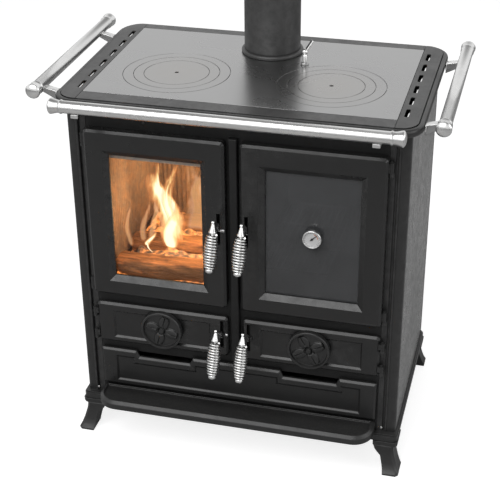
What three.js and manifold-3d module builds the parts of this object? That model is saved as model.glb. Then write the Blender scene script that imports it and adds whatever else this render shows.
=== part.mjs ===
// A wood-burning cookstove: cast-iron body on four feet, steel cooking plate with two sets
// of lift-out rings, firebox and glazed oven side by side, two lower doors with air wheels,
// a full-width drawer, a hearth tray, three bright rails and four spring-grip handles.
// Millimetres, +Z up, floor at z = 0, the front faces -Y, x = 0 is the middle of the stove.
import * as THREE from "three";
import { mergeVertices } from "three/addons/utils/BufferGeometryUtils.js";
import Module from "manifold-3d";

const wasm = await Module();
wasm.setup();

// ---------------------------------------------------------------- driving dimensions

const GAP = 0.3; // clearance between pieces that touch
const FAR = 2000; // longer than the stove, for cutting

// Faces round a large ring, a rail or knob, and a pin or small hole.
const ROUND_LARGE = 28;
const ROUND_MID = 14;
const ROUND_SMALL = 10;

const HOB_Z = 860; // cooking surface above the floor
const TOP = { half: 382, front: -202, back: 272, corner: 38 }; // flat top of the hob frame
const MOULDING_BOTTOM = 834.3;
const PLATE = { half: 337, front: -161, back: 252, thick: 8 };
const SLOT = { count: 6, x: 352, firstY: -122.5, pitch: 65.7, length: 42, width: 9 };

const BURNER = { x: 173, y: -11.5, ledge: 7, step: 4 };
const RING_RADII = [119, 95.5, 72.5]; // outside of outer ring, middle ring and disc
const FLUE = { y: 171, pipe: 64, bead: 70.5, spigot: 61.2, bore: 58, top: 1040 };
const DAMPER = { x: 91, y: 99, bush: 9, rod: 4, ballZ: 890, ball: 7 };

const BODY_HALF = 372;
const FRAME_FRONT = -177; // face of the front plate and the corner posts
const FRAME_BACK = 272;
const SHEET = 3;
const FOOT_HEIGHT = 78;
const BASE = { half: 379, front: -193, back: 272.5, top: 96 };
const BODY_BOTTOM = BASE.top + GAP;
const BODY_TOP = MOULDING_BOTTOM - GAP;
const POST_INNER = 329;
const TRAY = { half: 326, front: -256, top: 124, bottom: 103, corner: 46, bevel: 7, lip: 3 };

const UPPER_DOOR = { x0: 16.5, x1: 329, z0: 385, z1: 788.5, front: -201, back: -179 };
const LOWER_DOOR = { x0: 16.5, x1: 329, z0: 250, z1: 354, front: -190.5, back: -179 };
const WINDOW = { x0: 70, x1: 275.5, z0: 434, z1: 731, slope: 13, depth: 9 };
const LOWER_PANEL = { x0: 58, x1: 290, z0: 263, z1: 335 };
const MULLION = { half: 9.5, front: -191, z0: 240 };
const HINGE = { x: 334.5, y: -188, knuckle: 5, pin: 2.8, bore: 3.1, lug: 7 };
const UPPER_KNUCKLES = [
  [395, 420],
  [752, 777],
];
const LOWER_KNUCKLES = [
  [262, 280],
  [322, 340],
];

// Mouths in the front plate, right-hand side for the two pairs.
const UPPER_MOUTH = { x0: 50, x1: 300, z0: 415, z1: 762 };
const LOWER_MOUTH = { x0: 46, x1: 300, z0: 261, z1: 343 };
const DRAWER_MOUTH = { half: 314, z0: 131, z1: 222 };

const DRAWER = { half: 326, z0: 130, z1: 229.5, front: -191, back: -180, boxBack: 120 };
const NOTCH = { x0: 111, x1: 233, depth: 15, run: 7 }; // finger notches in the drawer's top edge
const DRAWER_PANEL = { half: 290, z0: 143, z1: 212 };

const AIR_WHEEL = { x: 171.5, z: 304, r: 48.5, front: -205, back: -191.2, petals: 4 };
const DIAL = { x: 175, z: 587, r: 21, front: -206, back: -193 };

const HANDLE = {
  x: 31,
  y: -192.1,
  upperZ: 582,
  lowerZ: 309,
  strap: 6,
  slot: 71,
  slotWidth: 8,
  rise: 4.5, // extra slot above the lever in the upper doors
};
const GRIP_TILT = 22.3; // degrees the grip leans forward from hanging straight down
const GRIP = { start: 23.3, end: 99.7, wire: 4.3, turns: 12, rEnd: 7.6, rMid: 11.2 };

const FRONT_RAIL = { y: -266.6, z: 866, r: 13.3, bead: 342, flareEnd: 364, end: 371, bracketX: 313 };
const SIDE_RAIL = { x: 434.22, z: 864, r: 13.6, front: -197, back: 277, end: 8, arms: [-155.5, 197] };

const FIREBOX = { x0: -300, x1: -46, back: 176, z0: 411.3, z1: 800, wall: 20 };
const GRATE = { z0: 398, z1: 411 };
const OVEN = { x0: 30, x1: 322, back: 196, z0: 398, z1: 790 };
const LOWER_BOX_Z = 256; // underside of the boxes behind the lower doors
const BOX_BACK = 196;
const ASH_PAN = { x0: -290, x1: -56, front: -164, back: 140, z1: 326, wall: 2.5 };
const RACK = { z: 470, bar: 5, front: -148, back: 180, gaps: 11 };

// ---------------------------------------------------------------- finishes

function finish(color, roughness, metalness, more = {}) {
  return () => new THREE.MeshStandardMaterial({ color, roughness, metalness, ...more });
}

const blackIron = finish(0x232323, 0.5, 0.55);
const greyEnamel = finish(0x6f6f6f, 0.5, 0.2);
const frameEnamel = finish(0x3c3c3c, 0.42, 0.4);
const hobSteel = finish(0xa5a5a3, 0.33, 0.95);
const chrome = finish(0xd9d9d9, 0.16, 1.0);
const brightSteel = finish(0xc9c9c9, 0.3, 0.95);
const flueBlack = finish(0x2f2f2f, 0.45, 0.4);
const fireIron = finish(0x4a3a30, 0.8, 0.3);
const sheetSteel = finish(0x55565a, 0.5, 0.8);
const ovenGlass = finish(0x2a2c2e, 0.05, 0.0, { transparent: true, opacity: 0.35 });
const needleBlack = finish(0x151515, 0.5, 0.2);

// ---------------------------------------------------------------- solids

// A closed geometry as a solid that can be joined and cut.
function solid(geometry) {
  const loose = geometry.index ? geometry.toNonIndexed() : geometry;
  const bare = new THREE.BufferGeometry();
  bare.setAttribute("position", loose.getAttribute("position"));
  const merged = mergeVertices(bare, 1e-4);
  const corners = merged.index.array;
  const kept = [];
  for (let i = 0; i < corners.length; i += 3) {
    const [a, b, c] = corners.slice(i, i + 3);
    if (a !== b && b !== c && c !== a) kept.push(a, b, c);
  }
  const vertProperties = new Float32Array(merged.getAttribute("position").array);
  const build = (tris) =>
    new wasm.Manifold(
      new wasm.Mesh({ numProp: 3, vertProperties, triVerts: new Uint32Array(tris) }),
    );
  const made = build(kept);
  return made.volume() < 0 ? build(kept.reverse()) : made;
}

function geometryOf(body) {
  const mesh = body.getMesh();
  const geometry = new THREE.BufferGeometry();
  geometry.setAttribute("position", new THREE.BufferAttribute(mesh.vertProperties, 3));
  geometry.setIndex(new THREE.BufferAttribute(mesh.triVerts, 1));
  const flat = geometry.toNonIndexed();
  flat.computeVertexNormals();
  return flat;
}

const joined = (first, ...rest) => rest.reduce((all, piece) => all.add(piece), first);
const cut = (first, ...rest) => rest.reduce((all, piece) => all.subtract(piece), first);

function block(x0, x1, y0, y1, z0, z1) {
  const geometry = new THREE.BoxGeometry(x1 - x0, y1 - y0, z1 - z0);
  return solid(geometry.translate((x0 + x1) / 2, (y0 + y1) / 2, (z0 + z1) / 2));
}

// A block whose back face is drawn in by `slope` on all four sides: the shape of a bevelled
// window or a sunk panel, front at y0 and back at y1.
function taperedBlock(x0, x1, z0, z1, y0, y1, slope) {
  const at = (y, s) => [
    [x0 + s, y, z0 + s],
    [x1 - s, y, z0 + s],
    [x1 - s, y, z1 - s],
    [x0 + s, y, z1 - s],
  ];
  return loft([at(y0, 0), at(y1, slope)]);
}

// A closed skin through rings of points, each ring convex and with the same count.
function loft(rings) {
  const count = rings[0].length;
  const corners = [];
  const face = (a, b, c) => corners.push(...a, ...b, ...c);
  for (let i = 0; i + 1 < rings.length; i++) {
    for (let j = 0; j < count; j++) {
      const k = (j + 1) % count;
      face(rings[i][j], rings[i][k], rings[i + 1][k]);
      face(rings[i][j], rings[i + 1][k], rings[i + 1][j]);
    }
  }
  const last = rings.at(-1);
  for (let j = 1; j + 1 < count; j++) {
    face(rings[0][0], rings[0][j + 1], rings[0][j]);
    face(last[0], last[j], last[j + 1]);
  }
  return solid(positions(corners));
}

function positions(numbers) {
  const geometry = new THREE.BufferGeometry();
  return geometry.setAttribute("position", new THREE.Float32BufferAttribute(numbers, 3));
}

// Turned shape about the Z axis from [radius, height] points; an open profile starts and
// ends on the axis, and a ring's profile is closed on itself.
function turned(profile, segments, closed = false) {
  const points = profile.map(([r, z]) => new THREE.Vector2(r, z));
  if (closed) points.push(points[0].clone());
  return solid(new THREE.LatheGeometry(points, segments).rotateX(Math.PI / 2));
}

const rod = (r, z0, z1, segments = ROUND_SMALL) =>
  turned([[0, z0], [r, z0], [r, z1], [0, z1]], segments);

const AXIS_X = new THREE.Matrix4().makeRotationY(Math.PI / 2); // turns +Z to +X
const AXIS_Y = new THREE.Matrix4().makeRotationX(-Math.PI / 2); // turns +Z to +Y

// The same solid moved by a three.js matrix.
function moved(body, matrix) {
  return solid(geometryOf(body).applyMatrix4(matrix));
}

const shifted = (body, x, y, z) => body.translate([x, y, z]);

function outline(points) {
  return new THREE.Shape(points.map(([x, y]) => new THREE.Vector2(x, y)));
}

function roundedOutline(x0, x1, y0, y1, r) {
  const shape = new THREE.Shape();
  shape.moveTo(x0 + r, y0);
  shape.lineTo(x1 - r, y0);
  shape.absarc(x1 - r, y0 + r, r, -Math.PI / 2, 0);
  shape.lineTo(x1, y1 - r);
  shape.absarc(x1 - r, y1 - r, r, 0, Math.PI / 2);
  shape.lineTo(x0 + r, y1);
  shape.absarc(x0 + r, y1 - r, r, Math.PI / 2, Math.PI);
  shape.lineTo(x0, y0 + r);
  shape.absarc(x0 + r, y0 + r, r, Math.PI, 1.5 * Math.PI);
  return shape;
}

// A plan outline (x, y) raised from z0 to z1.
function raised(shape, z0, z1, curveSegments = 4) {
  const options = { depth: z1 - z0, bevelEnabled: false, curveSegments };
  return solid(new THREE.ExtrudeGeometry(shape, options).translate(0, 0, z0));
}

// A side outline (y, z) carried from x0 to x1.
function sideways(shape, x0, x1, curveSegments = 4) {
  const options = { depth: x1 - x0, bevelEnabled: false, curveSegments };
  const turn = new THREE.Matrix4().makeBasis(
    new THREE.Vector3(0, 1, 0),
    new THREE.Vector3(0, 0, 1),
    new THREE.Vector3(1, 0, 0),
  );
  return solid(new THREE.ExtrudeGeometry(shape, options).applyMatrix4(turn).translate(x0, 0, 0));
}

// A front outline (x, z) from y = front to y = back, its front edges bevelled.
function facePlate(shape, front, back, bevel = 0, curveSegments = 3) {
  const options = {
    depth: back - front,
    bevelEnabled: bevel > 0,
    bevelThickness: bevel,
    bevelSize: bevel,
    bevelOffset: -bevel,
    bevelSegments: 1,
    curveSegments,
  };
  const turn = new THREE.Matrix4().makeBasis(
    new THREE.Vector3(1, 0, 0),
    new THREE.Vector3(0, 0, 1),
    new THREE.Vector3(0, -1, 0),
  );
  const geometry = new THREE.ExtrudeGeometry(shape, options).applyMatrix4(turn);
  const plate = solid(geometry.translate(0, back + bevel, 0));
  if (!bevel) return plate;
  return plate.intersect(block(-FAR, FAR, front - 1, back, -FAR, FAR));
}

// ---------------------------------------------------------------- the stove as a scene

const stove = new THREE.Group();

function add(name, body, material, parent = stove) {
  const mesh = new THREE.Mesh(geometryOf(body), material());
  mesh.name = name;
  parent.add(mesh);
  return mesh;
}

const SIDES = [
  { side: -1, label: "left" },
  { side: 1, label: "right" },
];

// ---------------------------------------------------------------- base, feet and tray

function baseFrame() {
  const plan = roundedOutline(-BASE.half, BASE.half, BASE.front, BASE.back, 12);
  const slab = raised(plan, FOOT_HEIGHT, BASE.top - 4);
  const rim = roundedOutline(-BASE.half + 3, BASE.half - 3, BASE.front + 3, BASE.back - 3, 9);
  const runner = (x0, x1) => block(x0, x1, -168, 190, BASE.top - 6, DRAWER.z0 + 3.7);
  return joined(slab, raised(rim, BASE.top - 5, BASE.top), runner(292, 308), runner(-308, -292));
}

// One foot at the outer corner (0, 0) of the base; +x and -y point away from the stove. Each row
// is [height, inner reach, outer reach in x, share of the lean in y]; the toe leans out by `lean`.
function foot(lean) {
  const levels = [
    [0, -27, 9, 1],
    [4, -27.5, 10, 1],
    [12, -29, 6, 0.62],
    [25, -32, 1, 0.4],
    [42, -36, -4, 0.22],
    [50, -44, -6, 0.13],
    [58, -50, -7, 0.09],
    [66, -53, -7, 0.04],
    [67, -55, 1, 0],
    [FOOT_HEIGHT - GAP, -55, 2, 0],
  ];
  const chamfer = 6;
  const rings = levels.map(([z, inner, outer, share]) => {
    const front = -2 - (lean - 2) * share;
    return [
      [inner, -inner, z],
      [inner, front, z],
      [outer - chamfer, front, z],
      [outer, front + chamfer, z],
      [outer, -inner, z],
    ];
  });
  return loft(rings);
}

add("base_frame", baseFrame(), blackIron);

const frontFootBody = foot(24.5);
const rearFootBody = foot(12.5);
for (const { side, label } of SIDES) {
  const front = add(`foot_front_${label}`, frontFootBody, blackIron);
  front.position.set(side * BASE.half, BASE.front, 0);
  front.scale.x = side;
  const rear = add(`foot_rear_${label}`, rearFootBody, blackIron);
  rear.position.set(side * BASE.half, BASE.back, 0);
  rear.scale.set(side, -1, 1);
}

// The tray stands on the base and reaches forward of the drawer; a bevelled lip runs round it.
function trayOutline(inset) {
  const { half, front, corner } = TRAY;
  const shape = new THREE.Shape();
  const r = corner - inset;
  shape.moveTo(half - inset, FRAME_FRONT - GAP - inset);
  shape.lineTo(-half + inset, FRAME_FRONT - GAP - inset);
  shape.lineTo(-half + inset, front + corner);
  shape.absarc(-half + corner, front + corner, r, Math.PI, 1.5 * Math.PI);
  shape.lineTo(half - corner, front + inset);
  shape.absarc(half - corner, front + corner, r, -Math.PI / 2, 0);
  return shape;
}

function hearthTray() {
  const { top, bottom, bevel, lip } = TRAY;
  const ring = (inset, z) => {
    const points = trayOutline(inset).getPoints(6);
    const apart = points.filter((p, i) => i === 0 || p.distanceTo(points[i - 1]) > 0.01);
    return apart.map(({ x, y }) => [x, y, z]);
  };
  const slab = loft([ring(0, bottom), ring(0, top - bevel), ring(bevel, top)]);
  const sunk = raised(trayOutline(bevel + lip), top - 4, top + 1, 6);
  const heelHalf = TRAY.half - 4;
  const heelBack = FRAME_FRONT - GAP;
  const heel = block(-heelHalf, heelHalf, BASE.front + 2, heelBack, BODY_BOTTOM, bottom + 1);
  return cut(joined(slab, heel), sunk);
}

add("hearth_tray", hearthTray(), blackIron);

// ---------------------------------------------------------------- body shell

function frontPlate() {
  const half = POST_INNER - GAP;
  const plate = block(-half, half, FRAME_FRONT, FRAME_FRONT + 5, BODY_BOTTOM, BODY_TOP);
  const mullion = facePlate(
    outline([
      [-MULLION.half, MULLION.z0],
      [MULLION.half, MULLION.z0],
      [MULLION.half, UPPER_DOOR.z1 + 6],
      [-MULLION.half, UPPER_DOOR.z1 + 6],
    ]),
    MULLION.front,
    FRAME_FRONT + 1,
    2,
  );
  const mouth = (x0, x1, z0, z1) => block(x0, x1, FRAME_FRONT - 1, FRAME_FRONT + 6, z0, z1);
  const pairs = [UPPER_MOUTH, LOWER_MOUTH].flatMap(({ x0, x1, z0, z1 }) => [
    mouth(-x1, -x0, z0, z1),
    mouth(x0, x1, z0, z1),
  ]);
  const { half: wide, z0, z1 } = DRAWER_MOUTH;
  return cut(joined(plate, mullion), ...pairs, mouth(-wide, wide, z0, z1));
}

add("front_plate", frontPlate(), blackIron);

// Plan of the right-hand post: a flat by the doors, a groove, a half-round bead, a flat and a
// rounded outer corner; behind it a tongue lies inside the side panel.
function postOutline() {
  const front = FRAME_FRONT;
  const shape = new THREE.Shape();
  shape.moveTo(POST_INNER, front + 9);
  shape.lineTo(POST_INNER, front);
  shape.lineTo(341, front);
  shape.lineTo(341, front + 6);
  shape.lineTo(346, front + 6);
  shape.lineTo(346, front);
  shape.absarc(349, front, 3, Math.PI, 2 * Math.PI);
  shape.lineTo(BODY_HALF - 8, front);
  shape.absarc(BODY_HALF - 8, front + 8, 8, -Math.PI / 2, 0);
  shape.lineTo(BODY_HALF, front + 14);
  shape.lineTo(BODY_HALF - SHEET - GAP, front + 14);
  shape.lineTo(BODY_HALF - SHEET - GAP, front + 34);
  shape.lineTo(BODY_HALF - SHEET - GAP - 3, front + 34);
  shape.lineTo(BODY_HALF - SHEET - GAP - 3, front + 9);
  return shape;
}

// A lug that stands forward of the post and carries an upright pin for one door knuckle.
function hingeLug([z0, z1]) {
  const z = z0 - GAP;
  const barrel = rod(HINGE.knuckle, z - HINGE.lug, z);
  const root = block(-4.5, 4.5, 0, FRAME_FRONT - HINGE.y + 2, z - HINGE.lug, z);
  return shifted(joined(barrel, root, rod(HINGE.pin, z - 1, z1 + 2, 8)), HINGE.x, HINGE.y, 0);
}

function cornerPost() {
  const lugs = [...LOWER_KNUCKLES, ...UPPER_KNUCKLES].map(hingeLug);
  return joined(raised(postOutline(), BODY_BOTTOM, BODY_TOP), ...lugs);
}

function sidePanel() {
  const front = FRAME_FRONT + 14 + GAP;
  return block(BODY_HALF - SHEET, BODY_HALF, front, FRAME_BACK - 15, BODY_BOTTOM, BODY_TOP);
}

// Bright heat shield inside the side panel, right under the vent slots.
function sideShield() {
  return block(361.5, 363, -130, PLATE.back - 9, BODY_BOTTOM, 850);
}

const postBody = cornerPost();
const panelBody = sidePanel();
const shieldBody = sideShield();
for (const { side, label } of SIDES) {
  add(`corner_post_${label}`, postBody, blackIron).scale.x = side;
  add(`side_panel_${label}`, panelBody, greyEnamel).scale.x = side;
  add(`side_shield_${label}`, shieldBody, brightSteel).scale.x = side;
}

function backPanel() {
  const y0 = FRAME_BACK - 4;
  const sheet = block(-BODY_HALF, BODY_HALF, y0, FRAME_BACK, BODY_BOTTOM, BODY_TOP);
  const flange = (x0, x1) => block(x0, x1, FRAME_BACK - 15 + GAP, y0 + 1, BODY_BOTTOM, BODY_TOP);
  return joined(sheet, flange(-BODY_HALF, -BODY_HALF + 4), flange(BODY_HALF - 4, BODY_HALF));
}

add("back_panel", backPanel(), blackIron);

// ---------------------------------------------------------------- hob frame

// Moulded edge as [distance outside the flat top, height]: flat top, groove, lower ledge,
// rounded band and undercut. At the rear the flat top runs on to the rounded edge.
const MOULDING = [
  [-16, MOULDING_BOTTOM],
  [-8, MOULDING_BOTTOM],
  [5, 840],
  [9.5, 842],
  [11.5, 846],
  [11.5, 852.5],
  [10, 856],
  [7, 857.6],
  [1, 858.2],
  [0.6, 856.8],
  [-1.8, 856.8],
  [-2.2, HOB_Z],
  [-16, HOB_Z],
];
const REAR_MOULDING = [
  ...MOULDING.slice(0, 5),
  [11.5, 853.5],
  [11.3, 857],
  [10.2, 859.2],
  [8.4, HOB_Z],
  [5, HOB_Z],
  [1, HOB_Z],
  [-2.2, HOB_Z],
  [-16, HOB_Z],
];

// The moulding carried round the rounded rectangle of the flat top.
const CORNER_STEPS = 4;

function mouldingRing() {
  const { half, front, back, corner } = TOP;
  const arcs = [
    [half - corner, front + corner, -90],
    [half - corner, back - corner, 0],
    [-half + corner, back - corner, 90],
    [-half + corner, front + corner, 180],
  ];
  const stations = [];
  for (const [cx, cy, start] of arcs) {
    for (let step = 0; step <= CORNER_STEPS; step++) {
      const a = THREE.MathUtils.degToRad(start + (90 / CORNER_STEPS) * step);
      stations.push([cx, cy, Math.cos(a), Math.sin(a)]);
    }
  }
  const corners = [];
  const point = (i, j) => {
    const [cx, cy, nx, ny] = stations[i % stations.length];
    const rows = ny > 0.99 ? REAR_MOULDING : MOULDING;
    const [d, z] = rows[j % rows.length];
    return [cx + (corner + d) * nx, cy + (corner + d) * ny, z];
  };
  for (let i = 0; i < stations.length; i++) {
    for (let j = 0; j < MOULDING.length; j++) {
      corners.push(...point(i, j), ...point(i + 1, j), ...point(i + 1, j + 1));
      corners.push(...point(i, j), ...point(i + 1, j + 1), ...point(i, j + 1));
    }
  }
  return solid(positions(corners));
}

function hobFrame() {
  const { half, front, back, corner } = TOP;
  const inset = 10;
  const wide = half - inset;
  const plan = roundedOutline(-wide, wide, front + inset, back - inset, corner - inset);
  const slab = raised(plan, HOB_Z - 8.5, HOB_Z, CORNER_STEPS);
  const opening = block(-PLATE.half, PLATE.half, PLATE.front, PLATE.back, 0, FAR);
  return cut(mouldingRing().add(slab), opening);
}

function ventSlots() {
  const { count, x, firstY, pitch, length, width } = SLOT;
  const w = width / 2;
  const plan = roundedOutline(x - w, x + w, -length / 2, length / 2, w - 0.1);
  const one = raised(plan, HOB_Z - 30, HOB_Z + 5, 2);
  return Array.from({ length: count }, (_, i) => shifted(one, 0, firstY + i * pitch, 0));
}

// Each piece of the frame has a ledge that carries the edge of the cooking plate.
const LEDGE = { z0: HOB_Z - 17, z1: HOB_Z - PLATE.thick - GAP, reach: 12 };
const sideLedge = (x0, z1) =>
  block(x0, PLATE.half + 6, PLATE.front + 6, PLATE.back - 6, LEDGE.z0, z1);
const wholeFrame = hobFrame();
const sidePiece = cut(
  joined(
    wholeFrame.intersect(block(PLATE.half, FAR, -FAR, FAR, 0, FAR)),
    sideLedge(PLATE.half - LEDGE.reach, LEDGE.z1),
    sideLedge(PLATE.half, HOB_Z - 2),
  ),
  ...ventSlots(),
);
for (const { side, label } of SIDES) {
  add(`hob_frame_${label}`, sidePiece, frameEnamel).scale.x = side;
}

function hobStrip(y0, y1, ledgeY0, ledgeY1) {
  const half = PLATE.half - GAP;
  const strip = wholeFrame.intersect(block(-half, half, y0, y1, 0, FAR));
  const ledge = block(-half + 20, half - 20, ledgeY0, ledgeY1, LEDGE.z0, LEDGE.z1);
  return joined(strip, ledge);
}

add(
  "hob_frame_front",
  hobStrip(-FAR, PLATE.front, TOP.front + 10, PLATE.front + LEDGE.reach),
  frameEnamel,
);
add("hob_frame_rear", hobStrip(PLATE.back, FAR, PLATE.back - LEDGE.reach, TOP.back - 10), frameEnamel);

// ---------------------------------------------------------------- cooking plate and rings

const PLATE_Z = HOB_Z - PLATE.thick;

function cookingPlate() {
  const half = PLATE.half - GAP;
  const plate = block(-half, half, PLATE.front + GAP, PLATE.back - GAP, PLATE_Z, HOB_Z);
  const [outer] = RING_RADII;
  const well = joined(
    rod(outer, HOB_Z - BURNER.step, HOB_Z + 1, ROUND_LARGE),
    rod(outer - BURNER.ledge, PLATE_Z - 1, HOB_Z, ROUND_LARGE),
  );
  return cut(
    plate,
    shifted(well, -BURNER.x, BURNER.y, 0),
    shifted(well, BURNER.x, BURNER.y, 0),
    shifted(rod(FLUE.spigot + GAP, PLATE_Z - 1, HOB_Z + 1, ROUND_LARGE), 0, FLUE.y, 0),
    shifted(rod(DAMPER.rod + 0.6, PLATE_Z - 1, HOB_Z + 1), DAMPER.x, DAMPER.y, 0),
  );
}

add("cooking_plate", cookingPlate(), hobSteel);

// A ring hangs by its upper step on the ledge of what lies round it.
function hobRing(outer, inner) {
  const low = PLATE_Z;
  const mid = HOB_Z - BURNER.step;
  const r = outer - GAP;
  return turned(
    [
      [inner - BURNER.ledge, low],
      [r - BURNER.ledge, low],
      [r - BURNER.ledge, mid + GAP],
      [r, mid + GAP],
      [r, HOB_Z],
      [inner, HOB_Z],
      [inner, mid],
      [inner - BURNER.ledge, mid],
    ],
    ROUND_LARGE,
    true,
  );
}

// The middle disc has a socket for the lifting hook.
function hobDisc(outer) {
  const mid = HOB_Z - BURNER.step;
  const r = outer - GAP;
  const hook = 4.5;
  return turned(
    [
      [hook, PLATE_Z],
      [r - BURNER.ledge, PLATE_Z],
      [r - BURNER.ledge, mid + GAP],
      [r, mid + GAP],
      [r, HOB_Z],
      [hook, HOB_Z],
    ],
    ROUND_LARGE,
    true,
  );
}

const [outerRadius, middleRadius, discRadius] = RING_RADII;
for (const { side, label } of SIDES) {
  const burner = new THREE.Group();
  burner.position.set(side * BURNER.x, BURNER.y, 0);
  add(`outer_ring_${label}`, hobRing(outerRadius, middleRadius), hobSteel, burner);
  add(`middle_ring_${label}`, hobRing(middleRadius, discRadius), hobSteel, burner);
  add(`hob_disc_${label}`, hobDisc(discRadius), hobSteel, burner);
  stove.add(burner);
}

// ---------------------------------------------------------------- flue and damper

function flueCollar() {
  const { spigot, bore, bead } = FLUE;
  const z = HOB_Z + GAP;
  const profile = [
    [bore, HOB_Z - 14],
    [spigot, HOB_Z - 14],
    [spigot, z],
    [bead - 1, z],
    [bead, z + 4],
    [bead - 1.5, z + 8],
    [bead - 5, z + 9],
    [spigot, z + 9],
    [spigot, z + 45],
    [bore, z + 45],
  ];
  return turned(profile, ROUND_LARGE, true);
}

function fluePipe() {
  const z = HOB_Z + GAP + 9 + GAP;
  const inner = FLUE.spigot + GAP;
  const profile = [
    [inner, z],
    [FLUE.pipe, z],
    [FLUE.pipe, FLUE.top],
    [inner, FLUE.top],
  ];
  return turned(profile, ROUND_LARGE, true);
}

add("flue_collar", flueCollar(), flueBlack).position.y = FLUE.y;
add("flue_pipe", fluePipe(), flueBlack).position.y = FLUE.y;

// Upright spindle with a ball and a flat finger on top and the damper flap below the plate.
function damperLever() {
  const { rod: r, ballZ, ball } = DAMPER;
  const spindle = rod(r, HOB_Z - 60, ballZ);
  const knob = solid(new THREE.SphereGeometry(ball, ROUND_SMALL, 8).translate(0, 0, ballZ));
  const flap = block(-30, 30, -1.5, 1.5, HOB_Z - 60, HOB_Z - 20);
  const tilt = new THREE.Matrix4().makeRotationFromEuler(new THREE.Euler(0, -0.95, 0.5, "ZYX"));
  const finger = moved(block(0, 30, -5, 5, -1.6, 1.6), tilt);
  return joined(spindle, knob, flap, shifted(finger, 0, 0, ballZ));
}

function damperBush() {
  const bore = DAMPER.rod + GAP;
  const z = HOB_Z + GAP;
  const profile = [
    [bore, z],
    [DAMPER.bush, z],
    [DAMPER.bush, z + 4],
    [DAMPER.bush - 2, z + 6],
    [bore, z + 6],
  ];
  return turned(profile, ROUND_SMALL, true);
}

add("damper_lever", damperLever(), chrome).position.set(DAMPER.x, DAMPER.y, 0);
add("damper_bush", damperBush(), blackIron).position.set(DAMPER.x, DAMPER.y, 0);

// ---------------------------------------------------------------- fire side

// One wall of flutes from a to b, each flute a shallow hollow `deep` towards `side`.
function fluted([ax, ay], [bx, by], [sx, sy], pitch = 22, deep = 3) {
  const length = Math.hypot(bx - ax, by - ay);
  const count = Math.round(length / pitch);
  const points = [];
  for (let i = 0; i < 2 * count; i++) {
    const t = i / (2 * count);
    const push = i % 2 ? deep : 0;
    points.push([ax + (bx - ax) * t + sx * push, ay + (by - ay) * t + sy * push]);
  }
  return points;
}

function fireboxLining() {
  const { x0, x1, back, z0, z1, wall } = FIREBOX;
  const front = FRAME_FRONT + 5 + GAP;
  const inner = [
    ...fluted([x0, front], [x0, back], [-1, 0]),
    ...fluted([x0, back], [x1, back], [0, 1]),
    ...fluted([x1, back], [x1, front], [1, 0]),
    [x1, front],
  ];
  const outer = [
    [x1 + wall, front],
    [x1 + wall, back + wall],
    [x0 - wall, back + wall],
    [x0 - wall, front],
  ];
  return raised(outline([...inner, ...outer]), z0, z1);
}

function fireGrate() {
  const { x0, x1, back, wall } = FIREBOX;
  const front = FRAME_FRONT + 5 + GAP;
  const plate = block(x0 - wall, x1 + wall, front, back + wall, GRATE.z0, GRATE.z1);
  const bars = 9;
  const pitch = (x1 - x0 - 40) / bars;
  const slots = Array.from({ length: bars }, (_, i) => {
    const x = x0 + 20 + (i + 0.5) * pitch;
    return block(x - 6, x + 6, -110, 110, GRATE.z0 - 1, GRATE.z1 + 1);
  });
  return cut(plate, ...slots);
}

// An open-fronted sheet-steel box behind a mouth in the front plate; `lid` closes its top.
function sheetBox(x0, x1, back, z0, z1, lid) {
  const front = FRAME_FRONT + 5 + GAP;
  const top = lid ? z1 - SHEET : z1 + 1;
  const inner = block(x0 + SHEET, x1 - SHEET, front - 1, back - SHEET, z0 + SHEET, top);
  return cut(block(x0, x1, front, back, z0, z1), inner);
}

function ashPan() {
  const { x0, x1, front, back, z1, wall } = ASH_PAN;
  const z0 = LOWER_BOX_Z + SHEET + GAP;
  const inside = block(x0 + wall, x1 - wall, front + wall, back - wall, z0 + wall, z1 + 1);
  return cut(block(x0, x1, front, back, z0, z1), inside);
}

add("firebox_lining", fireboxLining(), fireIron);
add("fire_grate", fireGrate(), fireIron);
add(
  "ash_box",
  sheetBox(FIREBOX.x0 - 20, FIREBOX.x1 + 20, BOX_BACK, LOWER_BOX_Z, GRATE.z0 - GAP, false),
  sheetSteel,
);
add("ash_pan", ashPan(), sheetSteel);

// ---------------------------------------------------------------- oven side

// Oven above and soot chamber below it, in one folded casing with rack ledges.
function ovenBox() {
  const { x0, x1, back, z0, z1 } = OVEN;
  const chamber = sheetBox(x0, x1, back, LOWER_BOX_Z, z0 + SHEET, true);
  const oven = sheetBox(x0, x1, back, z0, z1, true);
  const ledge = (a, b) => block(a, b, -150, back - 10, RACK.z - 5, RACK.z - GAP);
  return joined(chamber, oven, ledge(x0 + 1, x0 + 14), ledge(x1 - 14, x1 - 1));
}

function ovenRack() {
  const { z, bar, front, back, gaps: count } = RACK;
  const x0 = OVEN.x0 + 5;
  const x1 = OVEN.x1 - 5;
  const pitch = (x1 - x0 - bar) / count;
  const gaps = Array.from({ length: count }, (_, i) => {
    const x = x0 + bar + i * pitch;
    return block(x, x + pitch - bar, front + bar, back - bar, z - 1, z + bar + 1);
  });
  return cut(block(x0, x1, front, back, z, z + bar), ...gaps);
}

add("oven_box", ovenBox(), sheetSteel);
add("oven_rack", ovenRack(), brightSteel);

// ---------------------------------------------------------------- doors

function knuckle([z0, z1]) {
  const tab = block(-9, 0, -4, 4, z0 + 2, z1 - 2);
  return shifted(joined(rod(HINGE.knuckle, z0, z1), tab), HINGE.x, HINGE.y, 0);
}

function knuckleBore([z0, z1]) {
  return shifted(rod(HINGE.bore, z0 - 1, z1 + 3), HINGE.x, HINGE.y, 0);
}

// The slot for the handle's lever, and the pin that crosses it. In the thick upper doors it
// runs a little higher, so that the lever's arm clears its top end when the grip is raised.
function handleSlot(z, front) {
  const { x, slot, slotWidth, rise } = HANDLE;
  const top = z + slot / 2 + (front < HANDLE.y - 4 ? rise : 0);
  return block(x - slotWidth / 2, x + slotWidth / 2, -220, -170, z - slot / 2, top);
}

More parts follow.
